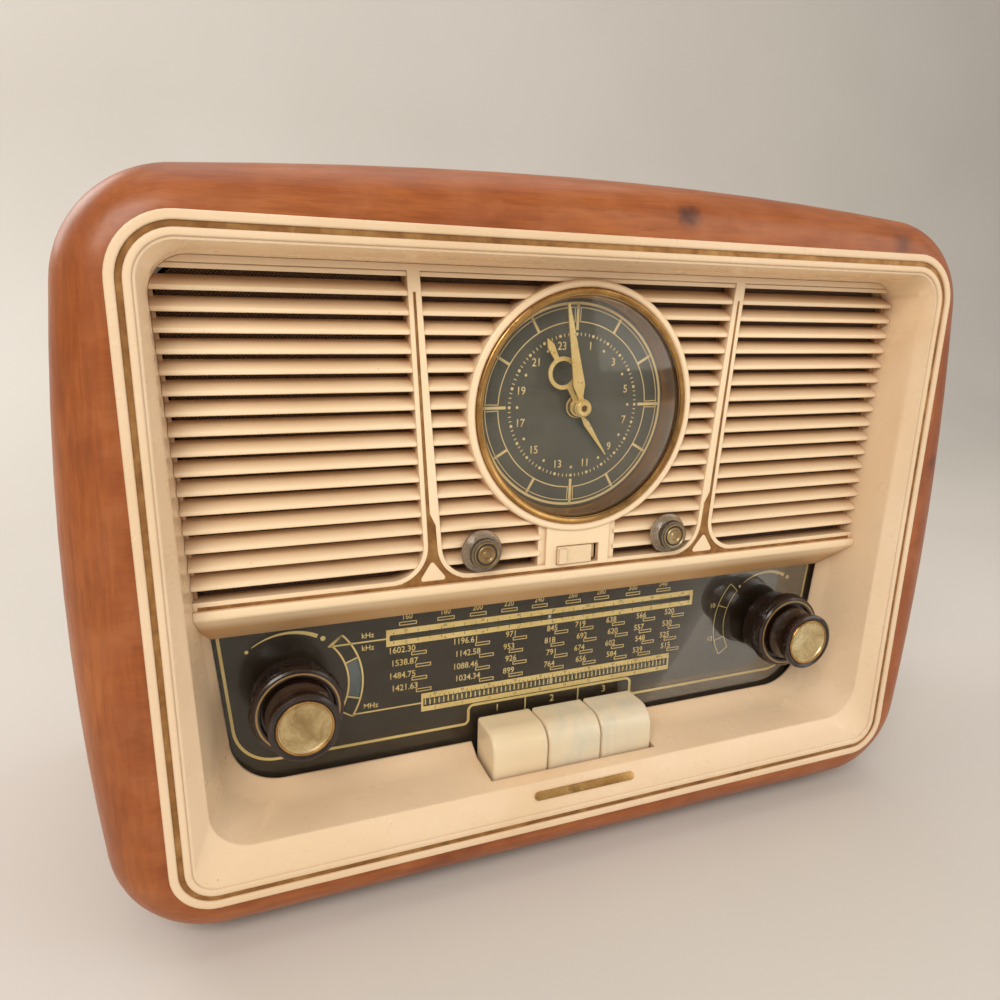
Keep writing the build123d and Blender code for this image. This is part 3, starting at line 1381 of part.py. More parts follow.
# ---------------------------------------------------------------- mains lead
LEAD_R = 3.0
LEAD_EXIT = (-120, 36)
PLUG_D = DEPTH_ALL - 12.5
PLUG_Z = 6.5
PLUG_SIZE = (25, 12.9, 5)  # width, height, corner radius
LEAD_POINTS = (  # x, depth, z from inside the cover to the plug
    (-120, 169.0, 36), (-120, 180.0, 36), (-119.6, 190.5, 34.6), (-116.4, 199.0, 23.5),
    (-103, 203.0, 8.4), (-78, 202.8, 3.6), (-40, 200.2, 3.5), (-6, 198.4, 4.6),
    (20, PLUG_D, 6.4),
)
with BuildLine() as lead_line:
    Spline(*[(x, Y0 + depth, z) for x, depth, z in LEAD_POINTS])
LEAD_PATH = lead_line.line
with BuildPart() as mains_cable:
    with BuildSketch(Plane(origin=LEAD_PATH @ 0, x_dir=(1, 0, 0), z_dir=(0, 1, 0))):
        Circle(LEAD_R)
    sweep(path=LEAD_PATH)
    # strain relief in the rear cover
    with BuildSketch(turning(*LEAD_EXIT)):
        with BuildLine():
            Polyline(
                (0, 177), (4.6, 177), (5.0, 178), (5.0, 183.3), (7.2, 183.3), (7.2, 185.4),
                (5.2, 186.2), (4.2, 193), (0, 193), close=True,
            )
        make_face()
    revolve(axis=shaft_axis(*LEAD_EXIT))
    # two-pin plug lying behind the set, with a sleeve round the lead
    with BuildSketch(side(3)):
        with Locations((PLUG_D + 0.45, 5.35)):
            Circle(3.7)
    with BuildSketch(side(14.5)):
        with Locations((PLUG_D, 6.2)):
            Circle(4.3)
    loft()
    # the plug body widens, then runs straight to its face
    with BuildSketch(side(14)):
        with Locations((PLUG_D, PLUG_Z)):
            RectangleRounded(11, 9, 3.5)
    with BuildSketch(side(30)):
        with Locations((PLUG_D, PLUG_Z)):
            RectangleRounded(*PLUG_SIZE)
    loft()
    with BuildSketch(side(29.9)):
        with Locations((PLUG_D, PLUG_Z)):
            RectangleRounded(*PLUG_SIZE)
    extrude(amount=20)
    # pins
    with BuildSketch(side(49)):
        with Locations((PLUG_D - 9.5, PLUG_Z), (PLUG_D + 9.5, PLUG_Z)):
            Circle(2.0)
    extrude(amount=20)
save("mains_cable", mains_cable)
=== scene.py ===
# Table clock radio. The front faces -Y and +Z is up; X runs left to right seen from the front.
# Printing and turned parts are laid out in millimetres as (x, z) with a depth measured
# back (+Y) from the front mask. Materials, stage and camera are in metres.
import math
import random

import bmesh
import bpy
from mathutils import Matrix, Vector


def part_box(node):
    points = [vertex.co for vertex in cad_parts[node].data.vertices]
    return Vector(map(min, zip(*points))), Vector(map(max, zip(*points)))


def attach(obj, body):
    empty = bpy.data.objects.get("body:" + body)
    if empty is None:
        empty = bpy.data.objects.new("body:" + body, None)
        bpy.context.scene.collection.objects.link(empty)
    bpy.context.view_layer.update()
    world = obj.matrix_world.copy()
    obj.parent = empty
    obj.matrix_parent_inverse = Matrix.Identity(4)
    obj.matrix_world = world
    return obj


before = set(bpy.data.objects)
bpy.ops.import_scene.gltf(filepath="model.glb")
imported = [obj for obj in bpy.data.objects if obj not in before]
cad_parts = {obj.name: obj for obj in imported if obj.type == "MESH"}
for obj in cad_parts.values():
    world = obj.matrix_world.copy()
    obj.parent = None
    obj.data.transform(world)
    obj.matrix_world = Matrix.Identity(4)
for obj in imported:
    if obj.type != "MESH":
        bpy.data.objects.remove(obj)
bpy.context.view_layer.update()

SCENE = bpy.context.scene
FRONT_Y = float(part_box("front_mask")[0].y)  # depth 0, the bezel lip
MM = 0.001
random.seed(7)

# centres on the front, (x, z) in millimetres
CLOCK = (0.0, 187.0)
KNOB_X, KNOB_Z = 112.5, 80.5
LEFT_KNOB, RIGHT_KNOB = (-KNOB_X, KNOB_Z), (KNOB_X, KNOB_Z)
SETTER_X, SETTER_Z = 41.9, 134.0
LEFT_SETTER, RIGHT_SETTER = (-SETTER_X, SETTER_Z), (SETTER_X, SETTER_Z)


def srgb(red, green, blue):
    """Linear colour from 0-255 display values."""
    def linear(channel):
        channel = channel / 255.0
        return channel / 12.92 if channel <= 0.04045 else ((channel + 0.055) / 1.055) ** 2.4

    return (linear(red), linear(green), linear(blue), 1.0)


# ------------------------------------------------------------------ node helpers
class Shader:
    """A material built from nodes. Inputs take either a value or another node's output."""

    def __init__(self, name):
        self.material = bpy.data.materials.new(name)
        self.material.use_nodes = True
        self.tree = self.material.node_tree
        self.tree.nodes.clear()
        self.output = self.node("ShaderNodeOutputMaterial")
        self.position = self.node("ShaderNodeTexCoord").outputs["Object"]
        self.surface = None

    def node(self, kind, inputs=None, **settings):
        node = self.tree.nodes.new(kind)
        for key, value in settings.items():
            setattr(node, key, value)
        for key, value in (inputs or {}).items():
            self.feed(node.inputs[key], value)
        return node

    def feed(self, socket, value):
        if isinstance(value, (int, float, tuple)):
            socket.default_value = value
        else:
            self.tree.links.new(value, socket)

    def set(self, key, value):
        self.feed(self.surface.inputs[key], value)

    def roughness(self, value, to, span=(0.3, 0.7)):
        self.set("Roughness", self.remap(value, span, to))

    def space(self, scale, shift=(0, 0, 0)):
        inputs = {"Vector": self.position, "Scale": scale, "Location": shift}
        return self.node("ShaderNodeMapping", inputs).outputs[0]

    def noise(self, scale, detail=4, rough=0.5, distort=0.0, vector=None, output="Fac"):
        return self.node("ShaderNodeTexNoise", {
            "Scale": scale, "Detail": detail, "Roughness": rough, "Distortion": distort,
            "Vector": self.position if vector is None else vector}).outputs[output]

    def ramp(self, value, *stops):
        node = self.node("ShaderNodeValToRGB", {0: value})
        elements = node.color_ramp.elements
        while len(elements) > 1:
            elements.remove(elements[-1])
        elements[0].position, elements[0].color = stops[0]
        for position, colour in stops[1:]:
            elements.new(position).color = colour
        return node.outputs[0]

    def two_tone(self, value, first, second, span=(0.3, 0.7)):
        return self.ramp(value, (span[0], first), (span[1], second))

    def remap(self, value, span, to):
        inputs = {0: value, 1: span[0], 2: span[1], 3: to[0], 4: to[1]}
        return self.node("ShaderNodeMapRange", inputs).outputs[0]

    def math(self, operation, *values):
        inputs = dict(enumerate(values))
        return self.node("ShaderNodeMath", inputs, operation=operation).outputs[0]

    def mix(self, factor, first, second):
        inputs = {0: factor, 6: first, 7: second}
        return self.node("ShaderNodeMix", inputs, data_type="RGBA").outputs[2]

    def stain(self, base, colour, where, span, amount=1.0):
        """Lays a colour over the base, from none to amount as 'where' crosses the span."""
        return self.mix(self.remap(where, span, to=(0.0, amount)), base, colour)

    def mix_shader(self, factor, first, second):
        inputs = {0: factor, 1: first, 2: second}
        return self.node("ShaderNodeMixShader", inputs).outputs[0]

    def bump(self, height, strength, dist, over=None):
        inputs = {"Height": height, "Strength": strength, "Distance": dist}
        if over is not None:
            inputs["Normal"] = over
        return self.node("ShaderNodeBump", inputs).outputs[0]

    def soft_edge(self, radius):
        return self.node("ShaderNodeBevel", {"Radius": radius}, samples=4).outputs[0]

    def xyz(self):
        return self.node("ShaderNodeSeparateXYZ", {0: self.position}).outputs

    def radius_from(self, centre):
        """Distance from a front-to-back axis through a centre given in millimetres."""
        x, _, z = self.xyz()
        across = self.math("SUBTRACT", x, centre[0] * MM)
        upward = self.math("SUBTRACT", z, centre[1] * MM)
        return self.math("SQRT", self.math("ADD", self.math("MULTIPLY", across, across),
                                           self.math("MULTIPLY", upward, upward)))

    def wave(self, value, rate):
        return self.math("SINE", self.math("MULTIPLY", value, rate))

    def weave(self, x, z, rate):
        return self.math("MULTIPLY", self.wave(x, rate), self.wave(z, rate))


def principled(name, metallic=0.0):
    m = Shader(name)
    m.surface = m.node("ShaderNodeBsdfPrincipled", {"Metallic": metallic})
    m.feed(m.output.inputs[0], m.surface.outputs[0])
    return m


# ------------------------------------------------------------------ material recipes
def simple(name, first, second, rough, metallic, scale, bump, stretch=(1, 1, 1),
           bump_scale=None, rough_swing=0.12, edge=0.0, fleck=None):
    """Two-tone surface (0-255 colours) with uneven gloss and a fine relief.

    fleck is a colour and the noise level where the flecks start."""
    m = principled(name, metallic)
    vector = m.space(stretch)
    blotch = m.noise(scale, detail=5, rough=0.55, distort=0.4, vector=vector)
    colour = m.two_tone(blotch, srgb(*first), srgb(*second), span=(0.32, 0.68))
    if fleck:
        fleck_colour, start = fleck
        grains = m.noise(scale * 14, detail=2, rough=0.6, vector=vector)
        colour = m.stain(colour, srgb(*fleck_colour), grains, span=(start, start + 0.06))
    m.set("Base Color", colour)
    m.roughness(m.noise(scale * 3.1, rough=0.6, vector=vector),
                to=(max(0.02, rough - rough_swing), min(1.0, rough + rough_swing)))
    height = m.noise(bump_scale or scale * 9, rough=0.6, vector=vector)
    m.set("Normal", m.bump(height, strength=bump, dist=0.00015,
                           over=m.soft_edge(edge) if edge else None))
    return m.material


# knots and age marks: x, z, core radius, outer radius (metres), strength
KNOTS = (
    (0.030, 0.2585, 0.0022, 0.0062, 0.85), (0.137, 0.2545, 0.0018, 0.0075, 0.60),
    (-0.1755, 0.052, 0.0010, 0.0040, 0.7), (0.172, 0.160, 0.0012, 0.0050, 0.5),
)
KNOT_DEPTH = 0.004
KNOT_WOBBLE = 0.004  # how far noise shifts the outline; its mean is half of this


def wood_material():
    m = principled("lacquered_veneer")
    x, y, _ = m.xyz()
    upright = m.remap(m.math("ABSOLUTE", x), span=(0.152, 0.176), to=(0.0, 1.0))

    def streaks(along, across, **noise):
        """Noise drawn out along X on the top and bottom, along Z on the sides."""
        flat = m.noise(vector=m.space((along, across, across)), **noise)
        tall = m.noise(vector=m.space((across, across, along)), **noise)
        return m.mix(upright, flat, tall)

    fine = streaks(along=2.2, across=26.0, scale=24.0, detail=6, rough=0.62, distort=0.6)
    pore = streaks(along=3.0, across=60.0, scale=46.0, detail=3, rough=0.7, distort=0.2)
    flame = streaks(along=0.5, across=1.5, scale=15.0, detail=4, rough=0.55, distort=1.4)
    cloud = m.noise(scale=34.0, detail=5, rough=0.6, distort=0.8,
                    vector=m.space((1.0, 1.0, 1.0), shift=(3.1, 0.4, 1.7)))
    base = m.ramp(flame, (0.30, srgb(134, 66, 23)), (0.46, srgb(160, 85, 32)),
                  (0.60, srgb(174, 99, 42)), (0.78, srgb(146, 75, 27)))
    base = m.stain(base, srgb(128, 62, 24), cloud, span=(0.42, 0.74), amount=0.32)
    base = m.stain(base, srgb(116, 54, 19), fine, span=(0.38, 0.64), amount=0.46)
    base = m.stain(base, srgb(70, 30, 16), pore, span=(0.60, 0.74), amount=0.30)
    for knot_x, knot_z, core, outer, strength in KNOTS:
        shifted = m.node("ShaderNodeVectorMath", {
            0: m.noise(scale=260.0, detail=2, output="Color"), 1: (KNOT_WOBBLE,) * 3,
            2: m.position}, operation="MULTIPLY_ADD")
        centre = (knot_x + KNOT_WOBBLE / 2, FRONT_Y + KNOT_DEPTH, knot_z + KNOT_WOBBLE / 2)
        distance = m.node("ShaderNodeVectorMath", {0: shifted.outputs[0], 1: centre},
                          operation="DISTANCE").outputs["Value"]
        spot = m.remap(distance, span=(core, outer), to=(strength, 0.0))
        base = m.mix(spot, base, srgb(62, 32, 26))
    # hand wear lightens the front arris a little
    rim = m.remap(y, span=(FRONT_Y + 0.0016, FRONT_Y + 0.012), to=(1.0, 0.0))
    patchy = m.remap(m.noise(scale=60, rough=0.6), span=(0.45, 0.7), to=(0.0, 0.35))
    base = m.mix(m.math("MULTIPLY", rim, patchy), base, srgb(186, 116, 74))
    m.set("Base Color", base)
    m.roughness(m.noise(scale=55, detail=5, rough=0.6), to=(0.34, 0.50))
    m.set("Coat Weight", 0.16)
    m.set("Coat Roughness", 0.20)
    m.set("Specular IOR Level", 0.35)
    m.set("Normal", m.bump(m.mix(0.5, fine, pore), strength=0.10, dist=0.0002))
    return m.material


def cream_material(name, first, second, hollow_shade, rough, marble=0.0, subsurface=0.0,
                   edge=0.0004, reach=0.006, shade_strength=0.42, rear_shade=None):
    """Aged plastic with painted shade in its hollows.

    reach is how far the painted shade spreads from a corner, and the argument after it sets its
    strength;
    the last argument gives the depths in millimetres between which painted shade darkens the
    plastic towards the rear, and the colour it reaches."""
    m = principled(name)
    age = m.noise(scale=11.0, rough=0.55, distort=0.6)
    colour = m.two_tone(age, srgb(*first), srgb(*second))
    if marble:
        vein = m.noise(scale=34.0, detail=5, rough=0.55, distort=2.6,
                       vector=m.space((1.0, 1.0, 0.5), shift=(0.9, 0.0, 0.3)))
        # the veins fade towards the left
        side = m.remap(m.xyz()[0], span=(-0.016, -0.008), to=(0.15, 1.0))
        amount = m.remap(vein, span=(0.40, 0.66), to=(marble * 0.35, marble))
        colour = m.mix(m.math("MULTIPLY", side, amount), colour, srgb(206, 200, 180))
    # painted shade: between two depths the plastic darkens towards the rear, as if shaded by the
    # part above
    if rear_shade:
        near, far, tone = rear_shade
        back = m.remap(m.xyz()[1], span=(FRONT_Y + near * MM, FRONT_Y + far * MM),
                       to=(0.0, 1.0))
        uneven = m.remap(m.noise(scale=28.0, detail=3), span=(0.3, 0.7), to=(0.75, 1.0))
        colour = m.mix(m.math("MULTIPLY", back, uneven), colour, srgb(*tone))
    # painted shade darkens the plastic where surfaces meet
    hollow = m.node("ShaderNodeAmbientOcclusion", {"Distance": reach}, samples=4)
    shade = m.remap(hollow.outputs["AO"], span=(0.30, 0.90), to=(shade_strength, 0.0))
    uneven = m.remap(m.noise(scale=45, detail=3), span=(0.35, 0.65), to=(0.7, 1.0))
    colour = m.mix(m.math("MULTIPLY", shade, uneven), colour, srgb(*hollow_shade))
    specks = m.noise(scale=620.0, detail=2)
    colour = m.stain(colour, srgb(120, 84, 52), specks, span=(0.75, 0.79), amount=0.40)
    m.set("Base Color", colour)
    m.roughness(m.noise(scale=60.0, rough=0.55, distort=0.3),
                to=(rough - 0.04, rough + 0.07), span=(0.35, 0.68))
    m.set("Subsurface Weight", subsurface)
    m.set("Subsurface Radius", (0.004, 0.0022, 0.0012))
    m.set("Subsurface Scale", 1.0)
    m.set("Normal", m.bump(m.noise(scale=150.0, detail=3), strength=0.03, dist=0.0001,
                           over=m.soft_edge(edge)))
    return m.material


def gold_line_material():
    m = principled("aged_gold_line", metallic=0.65)
    m.set("Base Color", m.ramp(
        m.noise(scale=130.0, detail=5, rough=0.6, distort=0.5),
        (0.3, srgb(128, 86, 46)), (0.5, srgb(158, 112, 62)), (0.72, srgb(184, 142, 86))))
    m.roughness(m.noise(scale=240.0, rough=0.6), to=(0.34, 0.58))
    m.set("Normal", m.bump(m.noise(scale=700.0, detail=3, rough=0.6),
                           strength=0.15, dist=0.0001))
    return m.material


def print_material(name, first, second):
    m = principled(name)
    m.set("Base Color", m.two_tone(m.noise(scale=90.0, rough=0.6), srgb(*first), srgb(*second)))
    m.roughness(m.noise(scale=400.0, detail=3, rough=0.6), to=(0.42, 0.6))
    m.set("Normal", m.bump(m.noise(scale=1500.0, detail=2), strength=0.1, dist=0.00005))
    return m.material


def bakelite_material():
    m = principled("dark_bakelite")
    m.set("Base Color", m.ramp(
        m.noise(scale=55.0, detail=6, rough=0.6, distort=2.2),
        (0.30, srgb(22, 12, 9)), (0.55, srgb(40, 23, 16)), (0.75, srgb(28, 16, 11))))
    m.roughness(m.noise(scale=150.0, detail=5, rough=0.65), to=(0.14, 0.34))
    m.set("Coat Weight", 0.25)
    m.set("Coat Roughness", 0.12)
    m.set("Normal", m.bump(m.noise(scale=420.0, rough=0.6), strength=0.06, dist=0.0001,
                           over=m.soft_edge(0.00035)))
    return m.material


def brass_cap_material(name, centre, darkening):
    m = principled(name, metallic=0.8)
    blot = m.noise(scale=95.0, detail=6, rough=0.66, distort=0.7)
    fine = m.noise(scale=900.0, rough=0.6)
    colour = m.ramp(blot, (0.28, srgb(156, 130, 86)), (0.46, srgb(192, 168, 120)),
                    (0.58, srgb(212, 192, 146)), (0.66, srgb(228, 214, 172)),
                    (0.76, srgb(182, 156, 108)))
    colour = m.stain(colour, srgb(120, 94, 58), fine, span=(0.5, 0.75), amount=0.3)
    m.set("Base Color", m.mix(darkening, colour, srgb(112, 80, 46)))
    m.roughness(blot, to=(0.46, 0.32), span=(0.35, 0.65))
    turned = m.bump(m.wave(m.radius_from(centre), rate=9000.0), strength=0.10, dist=0.00005,
                    over=m.soft_edge(0.0002))
    m.set("Normal", m.bump(blot, strength=0.10, dist=0.0002, over=turned))
    return m.material


def brass_ring_material():
    m = principled("polished_brass_ring", metallic=1.0)
    m.set("Base Color", m.two_tone(m.noise(scale=80.0, detail=5, rough=0.6, distort=0.8),
                                   srgb(150, 110, 62), srgb(198, 156, 96)))
    m.roughness(m.noise(scale=260.0, rough=0.6), to=(0.20, 0.36))
    m.set("Normal", m.bump(m.noise(scale=500.0, detail=3, rough=0.6), strength=0.05,
                           dist=0.0001, over=m.soft_edge(0.0003)))
    return m.material


def pane_material(name, tint, gloss, smear, strength, haze, gilt_radius=None):
    """Thin clear sheet: see-through with reflections by viewing angle, and faint smears.

    Beyond gilt_radius from the clock axis (millimetres) the sheet carries a gilt line."""
    m = Shader(name)
    clear = m.node("ShaderNodeBsdfTransparent", {0: tint}).outputs[0]
    wipe = m.noise(scale=26.0, detail=5, rough=0.65, distort=1.8,
                   vector=m.space((1.0, 1.0, 2.6)))
    smeared = m.remap(wipe, span=(0.35, 0.7), to=(gloss, gloss + smear))
    mirror = m.node("ShaderNodeBsdfGlossy", {"Roughness": smeared}).outputs[0]
    fresnel = m.node("ShaderNodeFresnel", {0: 1.48}).outputs[0]
    sheet = m.mix_shader(m.math("MULTIPLY", fresnel, strength), clear, mirror)
    dust = m.remap(m.noise(scale=900.0, detail=3, rough=0.6), span=(0.74, 0.82), to=(0.0, 0.06))
    film = m.math("ADD", m.remap(wipe, span=(0.50, 0.80), to=(0.0, 0.02)), dust)
    grey = m.node("ShaderNodeBsdfDiffuse", {0: (0.75, 0.72, 0.66, 1)}).outputs[0]
    sheet = m.mix_shader(m.math("ADD", film, haze), sheet, grey)
    if gilt_radius:
        radius = m.radius_from(CLOCK)
        gilt = m.node("ShaderNodeBsdfPrincipled", {
            "Metallic": 0.6, "Roughness": 0.35,
            "Base Color": m.two_tone(m.noise(scale=60.0, rough=0.55),
                                     srgb(170, 128, 74), srgb(206, 166, 106))})
        outside = m.math("GREATER_THAN", radius, gilt_radius * MM)
        sheet = m.mix_shader(outside, sheet, gilt.outputs[0])
    m.feed(m.output.inputs[0], sheet)
    return m.material


def clear_plastic_material():
    m = principled("yellowed_clear_plastic")
    m.set("Base Color", m.two_tone(m.noise(scale=200.0, rough=0.6, distort=0.8),
                                   srgb(206, 186, 156), srgb(232, 220, 198)))
    m.set("Transmission Weight", 0.80)
    m.set("IOR", 1.47)
    m.roughness(m.noise(scale=420.0, detail=5, rough=0.65), to=(0.06, 0.30))
    m.set("Normal", m.bump(m.noise(scale=500.0, detail=5, rough=0.65), strength=0.25,
                           dist=0.0002, over=m.soft_edge(0.0003)))
    return m.material


def cloth_material(thread_pitch=0.0012):
    m = principled("woven_grille_cloth")
    x, _, z = m.xyz()
    weave = m.weave(x, z, rate=2 * math.pi / thread_pitch)
    yarn = m.noise(scale=700.0, rough=0.6)
    colour = m.stain(srgb(44, 26, 14), srgb(128, 88, 50), weave, span=(-0.5, 0.7))
    colour = m.stain(colour, srgb(54, 36, 24), yarn, span=(0.35, 0.7), amount=0.6)
    m.set("Base Color", colour)
    m.set("Roughness", 0.9)
    m.set("Sheen Weight", 0.25)
    m.set("Normal", m.bump(weave, strength=0.8, dist=0.0003))
    return m.material


def clock_face_material():
    m = principled("olive_grey_face", metallic=0.1)
    m.set("Base Color", m.two_tone(m.noise(scale=38.0, rough=0.55, distort=0.6),
                                   srgb(88, 86, 77), srgb(104, 102, 92)))
    m.roughness(m.noise(scale=160.0, rough=0.6), to=(0.40, 0.55))
    m.set("Normal", m.bump(m.noise(scale=1400.0, detail=3, rough=0.6),
                           strength=0.15, dist=0.00005))
    return m.material


def dial_black_material():
    m = principled("black_scale_print")
    m.set("Base Color", m.two_tone(m.noise(scale=24.0, rough=0.55, distort=0.5),
                                   srgb(42, 33, 24), srgb(56, 46, 35)))
    m.roughness(m.noise(scale=120.0, rough=0.6), to=(0.30, 0.46))
    m.set("Normal", m.bump(m.noise(scale=900.0, detail=3, rough=0.6),
                           strength=0.06, dist=0.00005))
    return m.material


def card_material():
    m = principled("pressed_fibre_card")
    fibre = m.noise(scale=240.0, detail=6, rough=0.7, distort=1.5,
                    vector=m.space((1.0, 1.0, 0.35)))
    blot = m.noise(scale=12.0, rough=0.55)
    colour = m.ramp(fibre, (0.3, srgb(84, 58, 36)), (0.6, srgb(120, 86, 56)),
                    (0.8, srgb(98, 68, 44)))
    colour = m.stain(colour, srgb(72, 48, 30), blot, span=(0.4, 0.7), amount=0.45)
    m.set("Base Color", colour)
    m.roughness(fibre, to=(0.6, 0.85))
    grid = m.bump(m.weave(m.xyz()[0], m.xyz()[2], rate=2800.0), strength=0.25, dist=0.00015)
    m.set("Normal", m.bump(fibre, strength=0.35, dist=0.0002, over=grid))
    return m.material


# ------------------------------------------------------------------ materials
WOOD = wood_material()
# the colour after the two plastic tones is painted shade for corners and creases
CREAM = cream_material("aged_cream_plastic", (226, 194, 155), (238, 211, 177),
                       hollow_shade=(158, 104, 62), rough=0.28, edge=0.0010)
# the grille's slats also get painted shade darkening towards their rear
GRILLE_CREAM = cream_material("aged_cream_grille", (244, 216, 176), (250, 226, 190),
                              hollow_shade=(164, 106, 60), rough=0.34, reach=0.007, shade_strength=0.62,
                              rear_shade=(20.4, 25.6, (204, 158, 104)))
KEYS = cream_material("marbled_key_plastic", (228, 204, 164), (237, 217, 182),
                      hollow_shade=(170, 120, 80), rough=0.18, marble=0.8, subsurface=0.12,
                      edge=0.0008)
SWITCH = cream_material("cream_switch_plastic", (230, 200, 160), (240, 216, 178),
                        hollow_shade=(150, 100, 60), rough=0.28)
GOLD = gold_line_material()
PRINT_GOLD = print_material("gold_dial_print", (226, 196, 122), (244, 218, 152))
PRINT_CLOCK = print_material("gold_clock_print", (238, 208, 146), (250, 226, 172))
PRINT_DARK = print_material("dark_scale_figures", (40, 30, 22), (60, 46, 32))
BAKELITE = bakelite_material()
RING_BRASS = brass_ring_material()
DIAL_GLASS = pane_material("dial_pane", tint=(0.97, 0.97, 0.95, 1), gloss=0.03, smear=0.06,
                           strength=0.33, haze=0.0)
CLOCK_GLASS = pane_material("domed_clock_pane", tint=(0.98, 0.98, 0.96, 1), gloss=0.03,
                            smear=0.08, strength=0.42, haze=0.0, gilt_radius=42.85)
VALVE_GLASS = pane_material("valve_glass", tint=(0.80, 0.83, 0.84, 1), gloss=0.02,
                            smear=0.04, strength=1.0, haze=0.03)
LAMP_GLASS = pane_material("lamp_glass", tint=(0.95, 0.88, 0.72, 1), gloss=0.05, smear=0.1,
                           strength=1.0, haze=0.05)
CLEAR = clear_plastic_material()
CLOTH = cloth_material()
FACE = clock_face_material()
SCALE_BLACK = dial_black_material()
CARD = card_material()


def plain(name, first, second, finish, **extras):
    """Simple surface; finish is (roughness, metallic, blotch scale, bump strength)."""
    rough, metallic, scale, bump = finish
    return simple(name, first, second, rough, metallic, scale, bump, **extras)


HAND = plain("bright_gold_hands", (236, 200, 126), (250, 224, 164),
             finish=(0.34, 0.35, 120, 0.03), edge=0.0002)
CHAPTER = plain("brown_chapter_ring", (140, 98, 52), (184, 138, 80),
                finish=(0.24, 0.62, 9, 0.02), bump_scale=200, rough_swing=0.04)
RING_LINE = plain("dull_ring_line", (146, 116, 72), (172, 140, 92), finish=(0.4, 0.3, 160, 0.05))
POINTER = plain("pale_pointer_paint", (238, 226, 198), (248, 240, 220),
                finish=(0.45, 0.0, 90, 0.05))
DARK_BRASS = plain("dark_brass_line", (96, 70, 40), (138, 104, 62), finish=(0.34, 0.7, 160, 0.06))
STEEL = plain("zinc_plated_steel", (148, 146, 140), (190, 188, 180),
              finish=(0.34, 0.95, 60, 0.15), stretch=(1, 8, 1), edge=0.0002)
TIN = plain("grey_passivated_sheet", (118, 118, 112), (156, 154, 144),
            finish=(0.48, 0.85, 45, 0.2), fleck=((94, 84, 66), 0.66))
WHITE = plain("white_reflector_paint", (206, 196, 172), (226, 218, 196),
              finish=(0.5, 0.0, 30, 0.2))
MAGNET = plain("dark_magnet", (44, 44, 47), (66, 66, 70), finish=(0.55, 0.5, 90, 0.35))
PAPER = plain("pressed_paper_cone", (44, 40, 36), (66, 60, 52), finish=(0.85, 0.0, 160, 0.5),
              bump_scale=900)
AMBER = plain("treated_cloth", (128, 84, 40), (164, 112, 58), finish=(0.7, 0.0, 200, 0.6),
              bump_scale=1500)
COPPER = plain("enamelled_copper", (150, 80, 42), (196, 112, 62), finish=(0.32, 0.9, 300, 0.4),
               stretch=(1, 20, 1))
BOARD = plain("raw_hardboard", (110, 78, 50), (140, 102, 68), finish=(0.8, 0.0, 60, 0.4),
              stretch=(1, 1, 5), bump_scale=500)
RUBBER = plain("black_rubber", (34, 31, 29), (52, 48, 45), finish=(0.7, 0.0, 90, 0.35))
LEAD = plain("brown_rubber_lead", (46, 36, 30), (64, 52, 44), finish=(0.5, 0.0, 90, 0.25))
ALU = plain("drawn_aluminium", (176, 176, 176), (206, 206, 204), finish=(0.30, 1.0, 50, 0.15),
            stretch=(1, 1, 0.2), bump_scale=260, edge=0.0004)
IRON = plain("varnished_laminations", (30, 30, 32), (52, 50, 50), finish=(0.38, 0.4, 60, 0.6),
             stretch=(1, 40, 1), bump_scale=260)
FERRITE = plain("dark_ferrite", (46, 44, 42), (70, 66, 62), finish=(0.5, 0.1, 120, 0.3))
CASE = plain("dark_moulded_case", (42, 38, 33), (62, 56, 49), finish=(0.55, 0.0, 70, 0.25))
INDICATOR = plain("grey_blue_indicator", (92, 100, 104), (120, 130, 134),
                  finish=(0.35, 0.1, 120, 0.1))

CAP_LEFT = brass_cap_material("mottled_brass_disc", LEFT_KNOB, darkening=0.0)
CAP_RIGHT = brass_cap_material("mottled_brass_disc", RIGHT_KNOB, darkening=0.0)
CAP_ALARM = brass_cap_material("dark_brass_cap_left", LEFT_SETTER, darkening=0.55)
CAP_TIME = brass_cap_material("dark_brass_cap_right", RIGHT_SETTER, darkening=0.45)

CAD_MATERIALS = {
    "cabinet_shell": WOOD, "cabinet_feet": RUBBER, "back_cover": CARD,
    "back_cover_screws": STEEL, "front_mask": CREAM, "bezel_gold_inlay": GOLD,
    "louvre_grille": GRILLE_CREAM, "grille_gold_inlay": GOLD, "apron_bar": RING_BRASS,
    "speaker_cloth": CLOTH, "baffle_board": BOARD, "baffle_screws": STEEL,
    "speaker_basket": TIN, "speaker_magnet": MAGNET, "speaker_suspension": AMBER,
    "speaker_cone": PAPER, "speaker_voice_coil": COPPER, "clock_movement": CASE,
    "clock_dial": FACE, "clock_bezel_ring": RING_BRASS, "clock_chapter_ring": CHAPTER,
    "clock_lens": CLOCK_GLASS, "minute_hand": HAND, "hour_hand": HAND, "alarm_hand": HAND,
    "time_set_knob": CLEAR, "time_set_cap": CAP_TIME, "alarm_set_knob": CLEAR,
    "alarm_set_cap": CAP_ALARM, "slide_switch_button": SWITCH, "dial_glass": DIAL_GLASS,
    "dial_print_plate": SCALE_BLACK, "dial_reflector": WHITE, "dial_lamps": LAMP_GLASS,
    "am_pointer": POINTER, "fm_pointer": POINTER, "pointer_rails": STEEL,
    "volume_knob": BAKELITE, "volume_cap": CAP_LEFT, "tone_ring": BAKELITE,
    "tuning_knob": BAKELITE, "tuning_cap": CAP_RIGHT, "fm_ring": BAKELITE,
    "potentiometer": TIN, "control_bracket": TIN, "key_left": KEYS, "key_middle": KEYS,
    "key_right": KEYS, "key_bracket": STEEL, "key_spring_left": STEEL,
    "key_spring_middle": STEEL, "key_spring_right": STEEL, "gang_frame": ALU,
    "gang_rotor": ALU, "chassis_tray": TIN, "valve_envelopes": VALVE_GLASS,
    "shielding_cans": ALU, "transformers": IRON, "ferrite_aerial": FERRITE,
    "mains_cable": LEAD,
}


